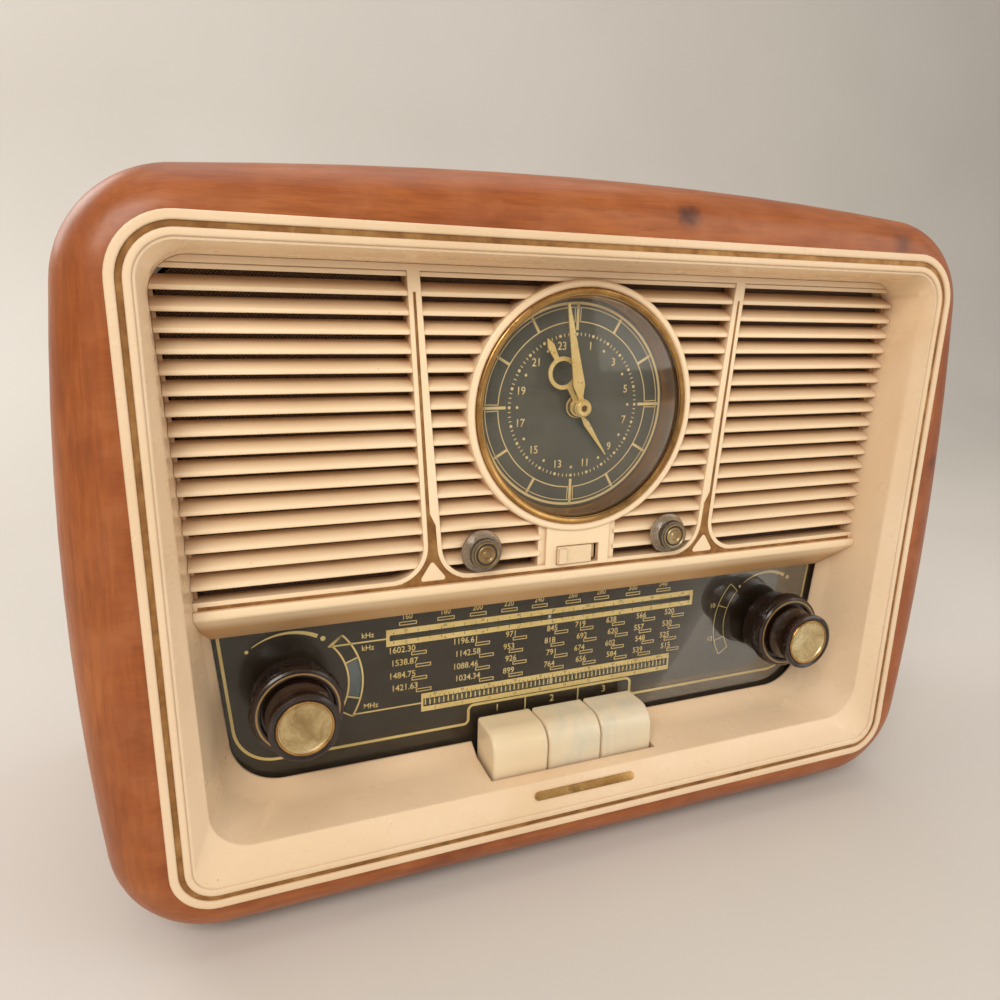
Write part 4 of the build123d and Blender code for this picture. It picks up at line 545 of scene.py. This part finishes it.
# ------------------------------------------------------------------ shading of the CAD pieces
def soften_group(merge_distance=1e-6, sharp_angle=32):
    """Joins the split corners and shades smooth up to an angle, leaving the mesh itself."""
    group = bpy.data.node_groups.new("soften", "GeometryNodeTree")
    for direction in ("INPUT", "OUTPUT"):
        group.interface.new_socket("Geometry", in_out=direction,
                                   socket_type="NodeSocketGeometry")
    add, link = group.nodes.new, group.links.new
    source, result = add("NodeGroupInput"), add("NodeGroupOutput")
    drop_normals = add("GeometryNodeRemoveAttribute")
    drop_normals.inputs["Name"].default_value = "custom_normal"
    merge = add("GeometryNodeMergeByDistance")
    merge.inputs["Distance"].default_value = merge_distance
    smooth = add("GeometryNodeSetShadeSmooth")
    smooth.domain = "FACE"
    smooth.inputs["Shade Smooth"].default_value = True
    sharpen = add("GeometryNodeSetShadeSmooth")
    sharpen.domain = "EDGE"
    sharpen.inputs["Shade Smooth"].default_value = False
    edge_angle = add("GeometryNodeInputMeshEdgeAngle")
    compare = add("FunctionNodeCompare")
    compare.data_type = "FLOAT"
    compare.operation = "GREATER_THAN"
    compare.inputs[1].default_value = math.radians(sharp_angle)
    link(source.outputs[0], drop_normals.inputs["Geometry"])
    link(drop_normals.outputs[0], merge.inputs["Geometry"])
    link(merge.outputs[0], smooth.inputs["Geometry"])
    link(smooth.outputs[0], sharpen.inputs["Geometry"])
    link(edge_angle.outputs["Unsigned Angle"], compare.inputs[0])
    link(compare.outputs[0], sharpen.inputs["Selection"])
    link(sharpen.outputs[0], result.inputs[0])
    return group


SOFTEN = soften_group()


def soften(piece):
    piece.modifiers.new("soften", "NODES").node_group = SOFTEN


for part_name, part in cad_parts.items():
    part.data.materials.clear()
    part.data.materials.append(CAD_MATERIALS[part_name])
    soften(part)


# ------------------------------------------------------------------ mesh helpers
def place(mesh, name, material, body="root", smooth=False, thickness=None):
    """Turns a bmesh into an object riding on a body; thickness is in millimetres."""
    data = bpy.data.meshes.new(name)
    mesh.to_mesh(data)
    mesh.free()
    piece = bpy.data.objects.new(name, data)
    SCENE.collection.objects.link(piece)
    data.materials.append(material)
    if smooth:
        soften(piece)
    if thickness:
        thick = piece.modifiers.new("thick", "SOLIDIFY")
        thick.thickness = thickness * MM
        thick.offset = -1.0
    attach(piece, body)


def face_outward(mesh):
    bmesh.ops.recalc_face_normals(mesh, faces=mesh.faces[:])


def rim_vertex(mesh, centre, radius, depth, angle):
    return mesh.verts.new((centre[0] * MM + radius * MM * math.cos(angle), FRONT_Y + depth * MM,
                           centre[1] * MM + radius * MM * math.sin(angle)))


def skin(mesh, loops, closed):
    """Joins neighbouring rings of vertices with quads, and the last to the first if closed."""
    count = len(loops[0])
    for j in range(len(loops) if closed else len(loops) - 1):
        near, far = loops[j], loops[(j + 1) % len(loops)]
        for i in range(count):
            following = (i + 1) % count
            mesh.faces.new((near[i], near[following], far[following], far[i]))


def lathe(name, profile, centre, material, body, segments, closed=True):
    """Turned piece: profile of (radius, depth) about a front-to-back axis."""
    mesh = bmesh.new()
    skin(mesh, [[rim_vertex(mesh, centre, radius, depth, 2 * math.pi * i / segments)
                 for i in range(segments)] for radius, depth in profile], closed)
    face_outward(mesh)
    place(mesh, name, material, body, smooth=True)


def knurl(name, centre, root, tip, front, back, teeth, body, chamfer=0.45, wall=0.5):
    """Toothed bakelite sleeve; root and tip are radii, front and back are depths."""
    mesh = bmesh.new()
    count = teeth * 4
    angles = [2 * math.pi * i / count for i in range(count)]
    loops = []
    for depth, relief in ((front, 0.0), (front + chamfer, 1.0), (back - chamfer, 1.0),
                          (back, 0.0)):
        loops.append([
            rim_vertex(mesh, centre, root + (tip - root) * (0.0, 1.0, 1.0, 0.0)[i % 4] * relief,
                       depth, angle) for i, angle in enumerate(angles)])
    bore = [[rim_vertex(mesh, centre, root - wall, depth, angle) for depth in (front, back)]
            for angle in angles]
    bore_front, bore_back = zip(*bore)
    skin(mesh, [bore_front] + loops + [bore_back], closed=True)
    face_outward(mesh)
    place(mesh, name, BAKELITE, body, smooth=True)


def polar(centre, radius, degrees):
    """Point at an angle anticlockwise from +X as seen from the front."""
    angle = math.radians(degrees)
    return (centre[0] + radius * math.cos(angle), centre[1] + radius * math.sin(angle))


def rounded(points, radii, step=8.0):
    """Corners of an open path rounded off, with a point every step degrees or so."""
    path = [points[0]]
    for i, radius in enumerate(radii, start=1):
        before, corner, after = (Vector(point) for point in points[i - 1:i + 2])
        to_before, to_after = (before - corner).normalized(), (after - corner).normalized()
        opening = to_before.angle(to_after)
        tangent = radius / math.tan(opening / 2)
        first, last = corner + to_before * tangent, corner + to_after * tangent
        bisector = (to_before + to_after).normalized()
        centre = corner + bisector * (radius / math.sin(opening / 2))
        start = math.atan2(first.y - centre.y, first.x - centre.x)
        end = math.atan2(last.y - centre.y, last.x - centre.x)
        turn = (end - start + math.pi) % (2 * math.pi) - math.pi
        count = max(2, int(abs(math.degrees(turn)) / step))
        for j in range(count + 1):
            angle = start + turn * j / count
            path.append((centre.x + radius * math.cos(angle),
                         centre.y + radius * math.sin(angle)))
    path.append(points[-1])
    return path


class Print:
    """Flat printing at one depth, facing the front, in millimetres (x, z)."""

    def __init__(self, depth):
        self.mesh = bmesh.new()
        self.y = FRONT_Y + depth * MM

    def vertex(self, x, z):
        return self.mesh.verts.new((x * MM, self.y, z * MM))

    def poly(self, points):
        self.mesh.faces.new([self.vertex(x, z) for x, z in points])

    def rect(self, left, right, bottom, top):
        self.poly([(left, bottom), (right, bottom), (right, top), (left, top)])

    def tick(self, x, bottom, top, half_width=0.11):
        self.rect(x - half_width, x + half_width, bottom, top)

    def frame(self, left, right, bottom, top, width):
        self.path([(left, bottom), (right, bottom), (right, top), (left, top)], width, True)

    def path(self, points, width, closed=False):
        """Mitred line."""
        count = len(points)
        left, right = [], []
        for i in range(count):
            here = Vector(points[i])
            before = Vector(points[i - 1]) if i > 0 or closed else None
            after = Vector(points[(i + 1) % count]) if i < count - 1 or closed else None
            arrive = ((after - here) if before is None else (here - before)).normalized()
            leave = arrive if after is None else (after - here).normalized()
            normal = Vector((-arrive.y, arrive.x))
            mitre = normal + Vector((-leave.y, leave.x))
            mitre = mitre.normalized() if mitre.length > 1e-6 else normal
            reach = width / 2 / max(0.35, mitre.dot(normal))
            left.append(self.vertex(here.x + mitre.x * reach, here.y + mitre.y * reach))
            right.append(self.vertex(here.x - mitre.x * reach, here.y - mitre.y * reach))
        for i in range(count if closed else count - 1):
            j = (i + 1) % count
            self.mesh.faces.new((left[i], left[j], right[j], right[i]))

    def arc(self, centre, radius, width, step, start=0.0, end=360.0):
        full = abs(end - start) >= 359.9
        count = max(3, int(abs(end - start) / step))
        self.path([polar(centre, radius, start + (end - start) * i / count)
                   for i in range(count if full else count + 1)], width, full)

    def dot(self, centre, radius, sides):
        self.poly([(centre[0] + radius * math.cos(2 * math.pi * i / sides),
                    centre[1] + radius * math.sin(2 * math.pi * i / sides))
                   for i in range(sides)])

    def bar(self, centre, angle, inner, outer, width):
        """Radial bar at a clock angle (clockwise from the top)."""
        sine, cosine = math.sin(math.radians(angle)), math.cos(math.radians(angle))
        half = width / 2
        self.poly([(centre[0] + radius * sine + side * cosine,
                    centre[1] + radius * cosine - side * sine)
                   for radius, side in ((inner, -half), (outer, -half), (outer, half),
                                        (inner, half))])

    def text(self, body, x, z, size, align="CENTER", squeeze=1.0, bold=0.0):
        curve = bpy.data.curves.new("text", "FONT")
        curve.body = body
        curve.size = size * MM
        curve.align_x = align
        curve.align_y = "CENTER"
        curve.resolution_u = 3
        curve.offset = bold * MM
        writing = bpy.data.objects.new("text", curve)
        SCENE.collection.objects.link(writing)
        bpy.context.view_layer.update()
        graph = bpy.context.evaluated_depsgraph_get()
        data = bpy.data.meshes.new_from_object(writing.evaluated_get(graph))
        data.transform(Matrix.Translation((x * MM, self.y, z * MM))
                       @ Matrix.Rotation(math.radians(90), 4, "X")
                       @ Matrix.Diagonal((squeeze, 1, 1, 1)))
        self.mesh.from_mesh(data)
        bpy.data.meshes.remove(data)
        bpy.data.objects.remove(writing)
        bpy.data.curves.remove(curve)

    def done(self, name, material, thickness):
        bmesh.ops.remove_doubles(self.mesh, verts=self.mesh.verts[:], dist=1e-7)
        for face in self.mesh.faces:
            face.normal_update()
            if face.normal.y > 0:
                face.normal_flip()
        place(self.mesh, name, material, thickness=thickness)


# ------------------------------------------------------------------ clock face
def clock_point(radius, degrees):
    """Point at an angle clockwise from twelve."""
    angle = math.radians(degrees)
    return (radius * math.sin(angle), CLOCK[1] + radius * math.cos(angle))


def clock_print():
    face = Print(depth=28.465)
    face.arc(CLOCK, radius=39.6, width=1.0, step=1.5)
    face.arc(CLOCK, radius=38.0, width=0.34, step=1.5)
    for quadrant in range(4):
        # each quadrant is outlined just inside the four long bars
        start, end = quadrant * 90 + 2.0, quadrant * 90 + 88.0
        face.arc(CLOCK, radius=32.6, width=0.42, step=1.5, start=start, end=end)
        for angle in (start, end):
            face.bar(CLOCK, 90 - angle, inner=32.5, outer=38.1, width=0.34)
    for hour in range(12):
        if hour % 3 == 0:
            face.bar(CLOCK, hour * 30, inner=29.4, outer=39.4, width=1.15)
        else:
            face.bar(CLOCK, hour * 30, inner=32.8, outer=38.9, width=1.05)
    for i in range(96):
        if i % 4 == 0:
            face.dot(clock_point(27.9, i * 3.75), radius=0.62, sides=12)
        else:
            face.bar(CLOCK, i * 3.75, inner=27.3, outer=28.5, width=0.36)
    for hour in range(1, 25):
        if hour % 2:
            face.text(str(hour), *clock_point(24.0, hour * 15), size=4.4, squeeze=0.92, bold=0.07)
        else:
            face.dot(clock_point(24.6, hour * 15), radius=0.55, sides=12)
    face.done("clock_face_print", PRINT_CLOCK, thickness=0.03)


clock_print()

# stacked collars on the hand arbor:
# name, material, hand it rides on, segments, closed section, profile of (radius, depth)
HUB_PIECES = (
    ("hand_hub_collar", HAND, "hour", 48, True,
     [(2.0, 22.9), (2.9, 22.9), (3.1, 23.2), (3.1, 23.9), (2.9, 24.2), (2.0, 24.2)]),
    ("hand_hub_bead", DARK_BRASS, "alarm", 48, True,
     [(2.3, 25.3), (3.6, 25.35), (4.0, 25.6), (4.0, 26.0), (3.6, 26.25), (2.3, 26.3)]),
    # painted shade: a thin dark disc at the front of the hub stands in for the shade inside the
    # nut's hole
    ("hand_hub_hole_shade_disc", DARK_BRASS, "minute", 36, False,
     [(0.0001, 20.05), (1.15, 20.05), (1.15, 20.15), (0.0001, 20.15)]),
    ("hand_hub_washer", HAND, "minute", 48, True,
     [(2.9, 20.75), (3.45, 20.8), (3.55, 21.1), (3.45, 21.4), (2.9, 21.42)]),
)
for name, material, hand, segments, closed, profile in HUB_PIECES:
    lathe(name, profile, CLOCK, material, hand, segments, closed)

# ------------------------------------------------------------------ tuning scale
BORDER = [(-138.0, 108.5), (-132.2, 53.0), (-39.2, 53.0), (-39.2, 61.2),
          (39.6, 61.2), (39.6, 53.0), (132.2, 53.0), (138.0, 108.5)]
BORDER_RADII = [16.0, 2.0, 2.4, 2.4, 2.0, 16.0]
WINDOW_INNER, WINDOW_OUTER = 22.8, 28.4  # radii of the curved windows beside the knobs
WINDOW_ANGLES = (44, 20, -16, -32)

# rows of figures: height, then one figure per column; columns start at FIGURE_COLUMNS
FIGURE_COLUMNS = (-73.8, -47.2, -24.2, -5.5, 9.5, 24.5, 39.5, 54.0)
FIGURE_ROWS = (
    (90.3, "1602 1196 971 845 719 638 566 520"),
    (84.8, "1538 1142 953 818 692 620 557 530"),
    (79.3, "1484 1088 926 791 674 602 548 525"),
    (73.9, "1421 1034 899 764 656 584 539 515"),
)
TOP_FIGURES = ((-66, "160"), (-50, "180"), (-36, "200"), (-22, "220"), (-8, "240"),
               (8, "260"), (22, "280"), (38, "300"), (54, "340"))


def scale_band(dial, left, right, heights, end):
    """Gold bands above and below a slot, closed at both ends."""
    bottom, slot_bottom, slot_top, top = heights
    dial.rect(left, right, slot_top, top)
    dial.rect(left, right, bottom, slot_bottom)
    dial.rect(left, left + end, slot_bottom, slot_top)
    dial.rect(right - end, right, slot_bottom, slot_top)


def knob_window(dial, centre, angles, outline, spoke):
    for radius in (WINDOW_INNER, WINDOW_OUTER):
        dial.arc(centre, radius, outline, step=2.0, start=min(angles), end=max(angles))
    for angle in angles:
        dial.path([polar(centre, WINDOW_INNER, angle), polar(centre, WINDOW_OUTER, angle)],
                  spoke)


def swelling_arc(dial, centre, radius=23.4, first=62, pitch=2.6, count=24):
    """Arc over a knob that thins from right to left, with a dot beyond each end."""
    for i in range(count):
        angle = first + i * pitch
        dial.arc(centre, radius, width=0.25 + 0.055 * (count - i), step=1.4,
                 start=angle, end=angle + 2.7)
    for angle, size in ((first - 6, 1.0), (first + count * pitch + 6, 0.7)):
        dial.dot(polar(centre, radius, angle), size, sides=14)


def figure_rows(dial):
    """Four rows of figures, each figure over a little marker frame."""
    for row, (z, figures) in enumerate(FIGURE_ROWS):
        for column, (x, figure) in enumerate(zip(FIGURE_COLUMNS, figures.split())):
            stagger = (row * 1.7 + column * 0.9) % 3.2
            if column < 2:
                figure += "." + str(3 + (row * 5 + column * 3) % 6) + str((row * 7 + column) % 9)
            start = x + stagger * 0.6
            dial.text(figure, start, z + 0.35, size=3.7, align="LEFT", squeeze=0.95, bold=0.05)
            end = start + 1.75 * len(figure) + stagger * 0.5
            dial.frame(end - 2.6, end + 3.6, z - 2.45, z - 1.25, width=0.34)


def dial_print():
    dial = Print(depth=35.762)
    dial.path(rounded(BORDER, BORDER_RADII), width=1.15)
    for x in (-12.9, 12.9):
        dial.tick(x, 53.0, 60.7, half_width=0.3)
    for i, x in enumerate((-26.0, 0.0, 26.0)):
        dial.text(str(i + 1), x, 57.9, size=4.4, bold=0.06)
    scale_band(dial, -74.6, 70.6, heights=(92.7, 94.95, 97.35, 99.7), end=1.4)
    dial.rect(-97.5, -74.6, 95.8, 96.4)
    for z in (98.6, 93.4):
        dial.text("kHz", -82.0, z, size=3.1, bold=0.04)
    scale_band(dial, -60.0, 60.0, heights=(62.2, 64.35, 67.85, 70.2), end=0.9)
    dial.rect(-87.5, -60.0, 65.8, 66.4)
    dial.text("MHz", -81.0, 68.6, size=3.1, bold=0.04)
    # the left window is tied to both bands by leader lines
    knob_window(dial, LEFT_KNOB, WINDOW_ANGLES, outline=0.7, spoke=0.6)
    for angle, target in ((44, (-97.5, 96.1)), (-32, (-87.3, 66.12))):
        dial.path([polar(LEFT_KNOB, WINDOW_OUTER, angle), target], width=0.6)
    mirrored = [180 - angle for angle in WINDOW_ANGLES]
    knob_window(dial, RIGHT_KNOB, mirrored, outline=0.4, spoke=0.4)
    for centre in (LEFT_KNOB, RIGHT_KNOB):
        swelling_arc(dial, centre)
    figure_rows(dial)
    for x, figure in TOP_FIGURES:
        dial.text(figure, x, 104.4, size=3.2, squeeze=0.95, bold=0.05)
        dial.frame(x - 3.2, x + 3.8, 101.1, 102.3, width=0.34)
    dial.text("10", 82.5, 90.3, size=3.2, bold=0.05)
    dial.text("12", 82.5, 73.9, size=3.2, bold=0.05)
    dial.done("dial_scale_print", PRINT_GOLD, thickness=0.02)


def dark_figures():
    """Dark figures and tick marks on the gold bands, a hair in front of them."""
    marks = Print(depth=35.752)
    for i in range(29):
        x = -71.5 + i * 5.0
        marks.tick(x, 97.45, 98.3 if i % 2 else 98.7)
        marks.tick(x, 94.0 if i % 2 else 93.6, 94.85)
    for figures, z, size in (("55 60 70 80 90 100 120 140 160", 98.75, 1.5),
                             ("15 16 18 20 22 25 28 31 34", 93.4, 1.3)):
        for i, figure in enumerate(figures.split()):
            marks.text(figure, -66.5 + i * 16.4, z, size)
    for i in range(57):
        marks.tick(-56.0 + i * 2.0, 67.95, 68.75 if i % 4 else 69.2)
    for i, figure in enumerate("87 89 91 93 95 97 99 101 103 104".split()):
        x = -54.0 + i * 12.0
        marks.text(figure, x, 69.3, size=1.5)
        marks.text(str(2 + i * 5), x, 63.2, size=1.5)
    marks.done("dial_scale_figures", PRINT_DARK, thickness=0.006)


def slot_comb():
    """Comb of fine teeth seen in the lower slot."""
    comb = Print(depth=36.42)
    for i in range(59):
        comb.tick(-58.0 + i * 2.0, 64.6, 67.0 if i % 5 else 67.7, half_width=0.28)
    comb.done("lower_slot_comb", PRINT_GOLD, thickness=0.15)


def indicator_strip(inner=22.6, outer=28.6):
    """Grey-blue strip behind the curved window."""
    strip = Print(depth=36.45)
    angles = range(-20, 25, 3)
    for start, end in zip(angles, angles[1:]):
        strip.poly([polar(LEFT_KNOB, inner, start), polar(LEFT_KNOB, outer, start),
                    polar(LEFT_KNOB, outer, end), polar(LEFT_KNOB, inner, end)])
    bmesh.ops.remove_doubles(strip.mesh, verts=strip.mesh.verts[:], dist=1e-7)
    face_outward(strip.mesh)
    place(strip.mesh, "indicator_strip", INDICATOR, thickness=0.4)


dial_print()
dark_figures()
slot_comb()
indicator_strip()

# ------------------------------------------------------------------ knob details
# profiles of (radius, depth)
RING_LINE_PROFILE = [(14.5, 16.93), (14.55, 16.80), (15.25, 16.80), (15.3, 16.93),
                     (15.2, 17.05), (14.6, 17.05)]
CAP_RIM_PROFILE = [(9.35, 4.45), (9.5, 4.2), (10.1, 4.15), (10.3, 4.4), (10.3, 4.9),
                   (9.35, 4.9)]
# painted shade: a thin black ring on the clock-setting caps stands in for the shade in their
# groove
CAP_GROOVE_SHADE_PROFILE = [(3.4, 13.55), (4.1, 13.55), (4.1, 13.66), (3.4, 13.66)]

for centre, body in ((LEFT_KNOB, "tone"), (RIGHT_KNOB, "fm")):
    knurl(body + "_ring_knurl", centre, root=16.62, tip=17.1, front=18.7, back=22.9,
          teeth=96, body=body)
    lathe(body + "_ring_gold_line", RING_LINE_PROFILE, centre, RING_LINE, body,
          segments=120)
for centre, body in ((LEFT_KNOB, "volume"), (RIGHT_KNOB, "tuning")):
    lathe(body + "_cap_rim", CAP_RIM_PROFILE, centre, RING_BRASS, body,
          segments=120)
# fine grooves on the necks of the clock-setting knobs
for centre, body, tag in ((LEFT_SETTER, "alarm_setter", "alarm_set"),
                          (RIGHT_SETTER, "time_setter", "time_set")):
    knurl(tag + "_grip", centre, root=5.88, tip=6.12, front=14.1, back=16.3, teeth=40,
          body=body)
    # painted shade ring for the cap's groove
    lathe(tag + "_cap_groove_shade_ring", CAP_GROOVE_SHADE_PROFILE, centre, RUBBER, body,
          segments=64)

# ------------------------------------------------------------------ valve electrodes
# x, depth, glass radius, glass height
VALVES = ((-120.0, 108.0, 10.5, 56.0), (-78.0, 142.0, 9.5, 50.0),
          (66.0, 144.0, 10.5, 60.0), (108.0, 106.0, 9.5, 50.0))
VALVE_BASE = 56
ELECTRODE_GAP = 12.0  # from either end of the glass to the wide part
FLATTENING = 0.82  # front to back


def electrodes(name, centre_x, centre_depth, glass_radius, height, segments=24):
    low, high = VALVE_BASE + ELECTRODE_GAP, VALVE_BASE + height - ELECTRODE_GAP
    wide, collar = glass_radius * 0.56, glass_radius * 0.4
    # radius, height above the floor
    profile = [(2.0, low - 6), (2.0, low), (wide, low), (wide, high), (2.6, high),
               (2.6, high + 3), (collar, high + 3.2), (collar, high + 3.8), (0.01, high + 3.9)]
    angles = [2 * math.pi * i / segments for i in range(segments)]
    mesh = bmesh.new()
    loops = [[mesh.verts.new((
        (centre_x + radius * math.cos(angle)) * MM,
        FRONT_Y + (centre_depth + radius * FLATTENING * math.sin(angle)) * MM,
        z * MM)) for angle in angles] for radius, z in profile]
    skin(mesh, loops, closed=False)
    mesh.faces.new(loops[0][::-1])
    face_outward(mesh)
    place(mesh, name, STEEL, smooth=True)


for i, valve in enumerate(VALVES):
    electrodes("valve_%d_electrodes" % (i + 1), *valve)


# ------------------------------------------------------------------ floor, light, camera
def floor(half_width=3.0, bend_start=0.62, bend_radius=0.5, wall_top=2.6):
    """Level ground that curves up into a wall behind the radio."""
    profile = [(-half_width, 0.0), (bend_start, 0.0)]
    for i in range(1, 13):
        angle = math.pi / 2 * i / 12
        profile.append((bend_start + bend_radius * math.sin(angle),
                        bend_radius - bend_radius * math.cos(angle)))
    profile.append((bend_start + bend_radius, wall_top))
    mesh = bmesh.new()
    rows = [[mesh.verts.new((side * half_width, y, z)) for side in (-1, 1)]
            for y, z in profile]
    for near, far in zip(rows, rows[1:]):
        mesh.faces.new((near[0], near[1], far[1], far[0])).smooth = True
    data = bpy.data.meshes.new("floor")
    mesh.to_mesh(data)
    mesh.free()
    ground = bpy.data.objects.new("floor", data)
    SCENE.collection.objects.link(ground)
    m = principled("pale_floor")
    m.set("Base Color", m.two_tone(m.noise(scale=3.0, detail=3),
                                   (0.64, 0.60, 0.55, 1), (0.68, 0.64, 0.59, 1)))
    m.set("Roughness", 0.55)
    data.materials.append(m.material)


def area_light(name, at, aim, size, power, color, size_y=None):
    data = bpy.data.lights.new(name, "AREA")
    data.energy = power
    data.color = color
    data.size = size
    if size_y:
        data.shape = "RECTANGLE"
        data.size_y = size_y
    lamp = bpy.data.objects.new(name, data)
    lamp.location = at
    lamp.rotation_euler = (Vector(aim) - Vector(at)).to_track_quat("-Z", "Y").to_euler()
    SCENE.collection.objects.link(lamp)


def studio_world():
    world = bpy.data.worlds.new("studio")
    SCENE.world = world
    world.use_nodes = True
    background = world.node_tree.nodes["Background"]
    background.inputs["Color"].default_value = (1.0, 0.965, 0.92, 1)
    background.inputs["Strength"].default_value = 0.40


def camera(at, right, forward):
    data = bpy.data.cameras.new("camera")
    data.sensor_width = 36.0
    data.lens = 30.645
    data.clip_start = 0.01
    viewer = bpy.data.objects.new("camera", data)
    right, forward = Vector(right).normalized(), Vector(forward).normalized()
    right = (right - forward * right.dot(forward)).normalized()
    up = right.cross(forward)
    rows = [(right[i], up[i], -forward[i], at[i]) for i in range(3)]
    viewer.matrix_world = Matrix((*rows, (0, 0, 0, 1)))
    SCENE.collection.objects.link(viewer)
    SCENE.camera = viewer


floor()
area_light("key_light", at=(-0.75, -1.15, 1.05), aim=(0, 0, 0.12), size=0.9, size_y=0.7,
           power=15.5, color=(1.0, 0.955, 0.89))
area_light("fill_light", at=(1.3, -1.2, 0.75), aim=(0, 0, 0.12), size=1.2, power=8.0,
           color=(1.0, 0.95, 0.88))
area_light("top_light", at=(0.1, 0.25, 1.7), aim=(0, 0, 0.1), size=1.4, power=8.0,
           color=(1.0, 0.98, 0.95))
area_light("rim_light", at=(-0.9, 0.9, 0.9), aim=(0, 0, 0.2), size=0.8, power=8.0,
           color=(1.0, 0.97, 0.93))
studio_world()
camera(at=(-0.16097, -0.37226, 0.22881), right=(0.9174, -0.3970, 0.0275),
       forward=(0.3920, 0.8896, -0.2342))
SCENE.view_settings.view_transform = "Standard"
SCENE.view_settings.exposure = 0.0
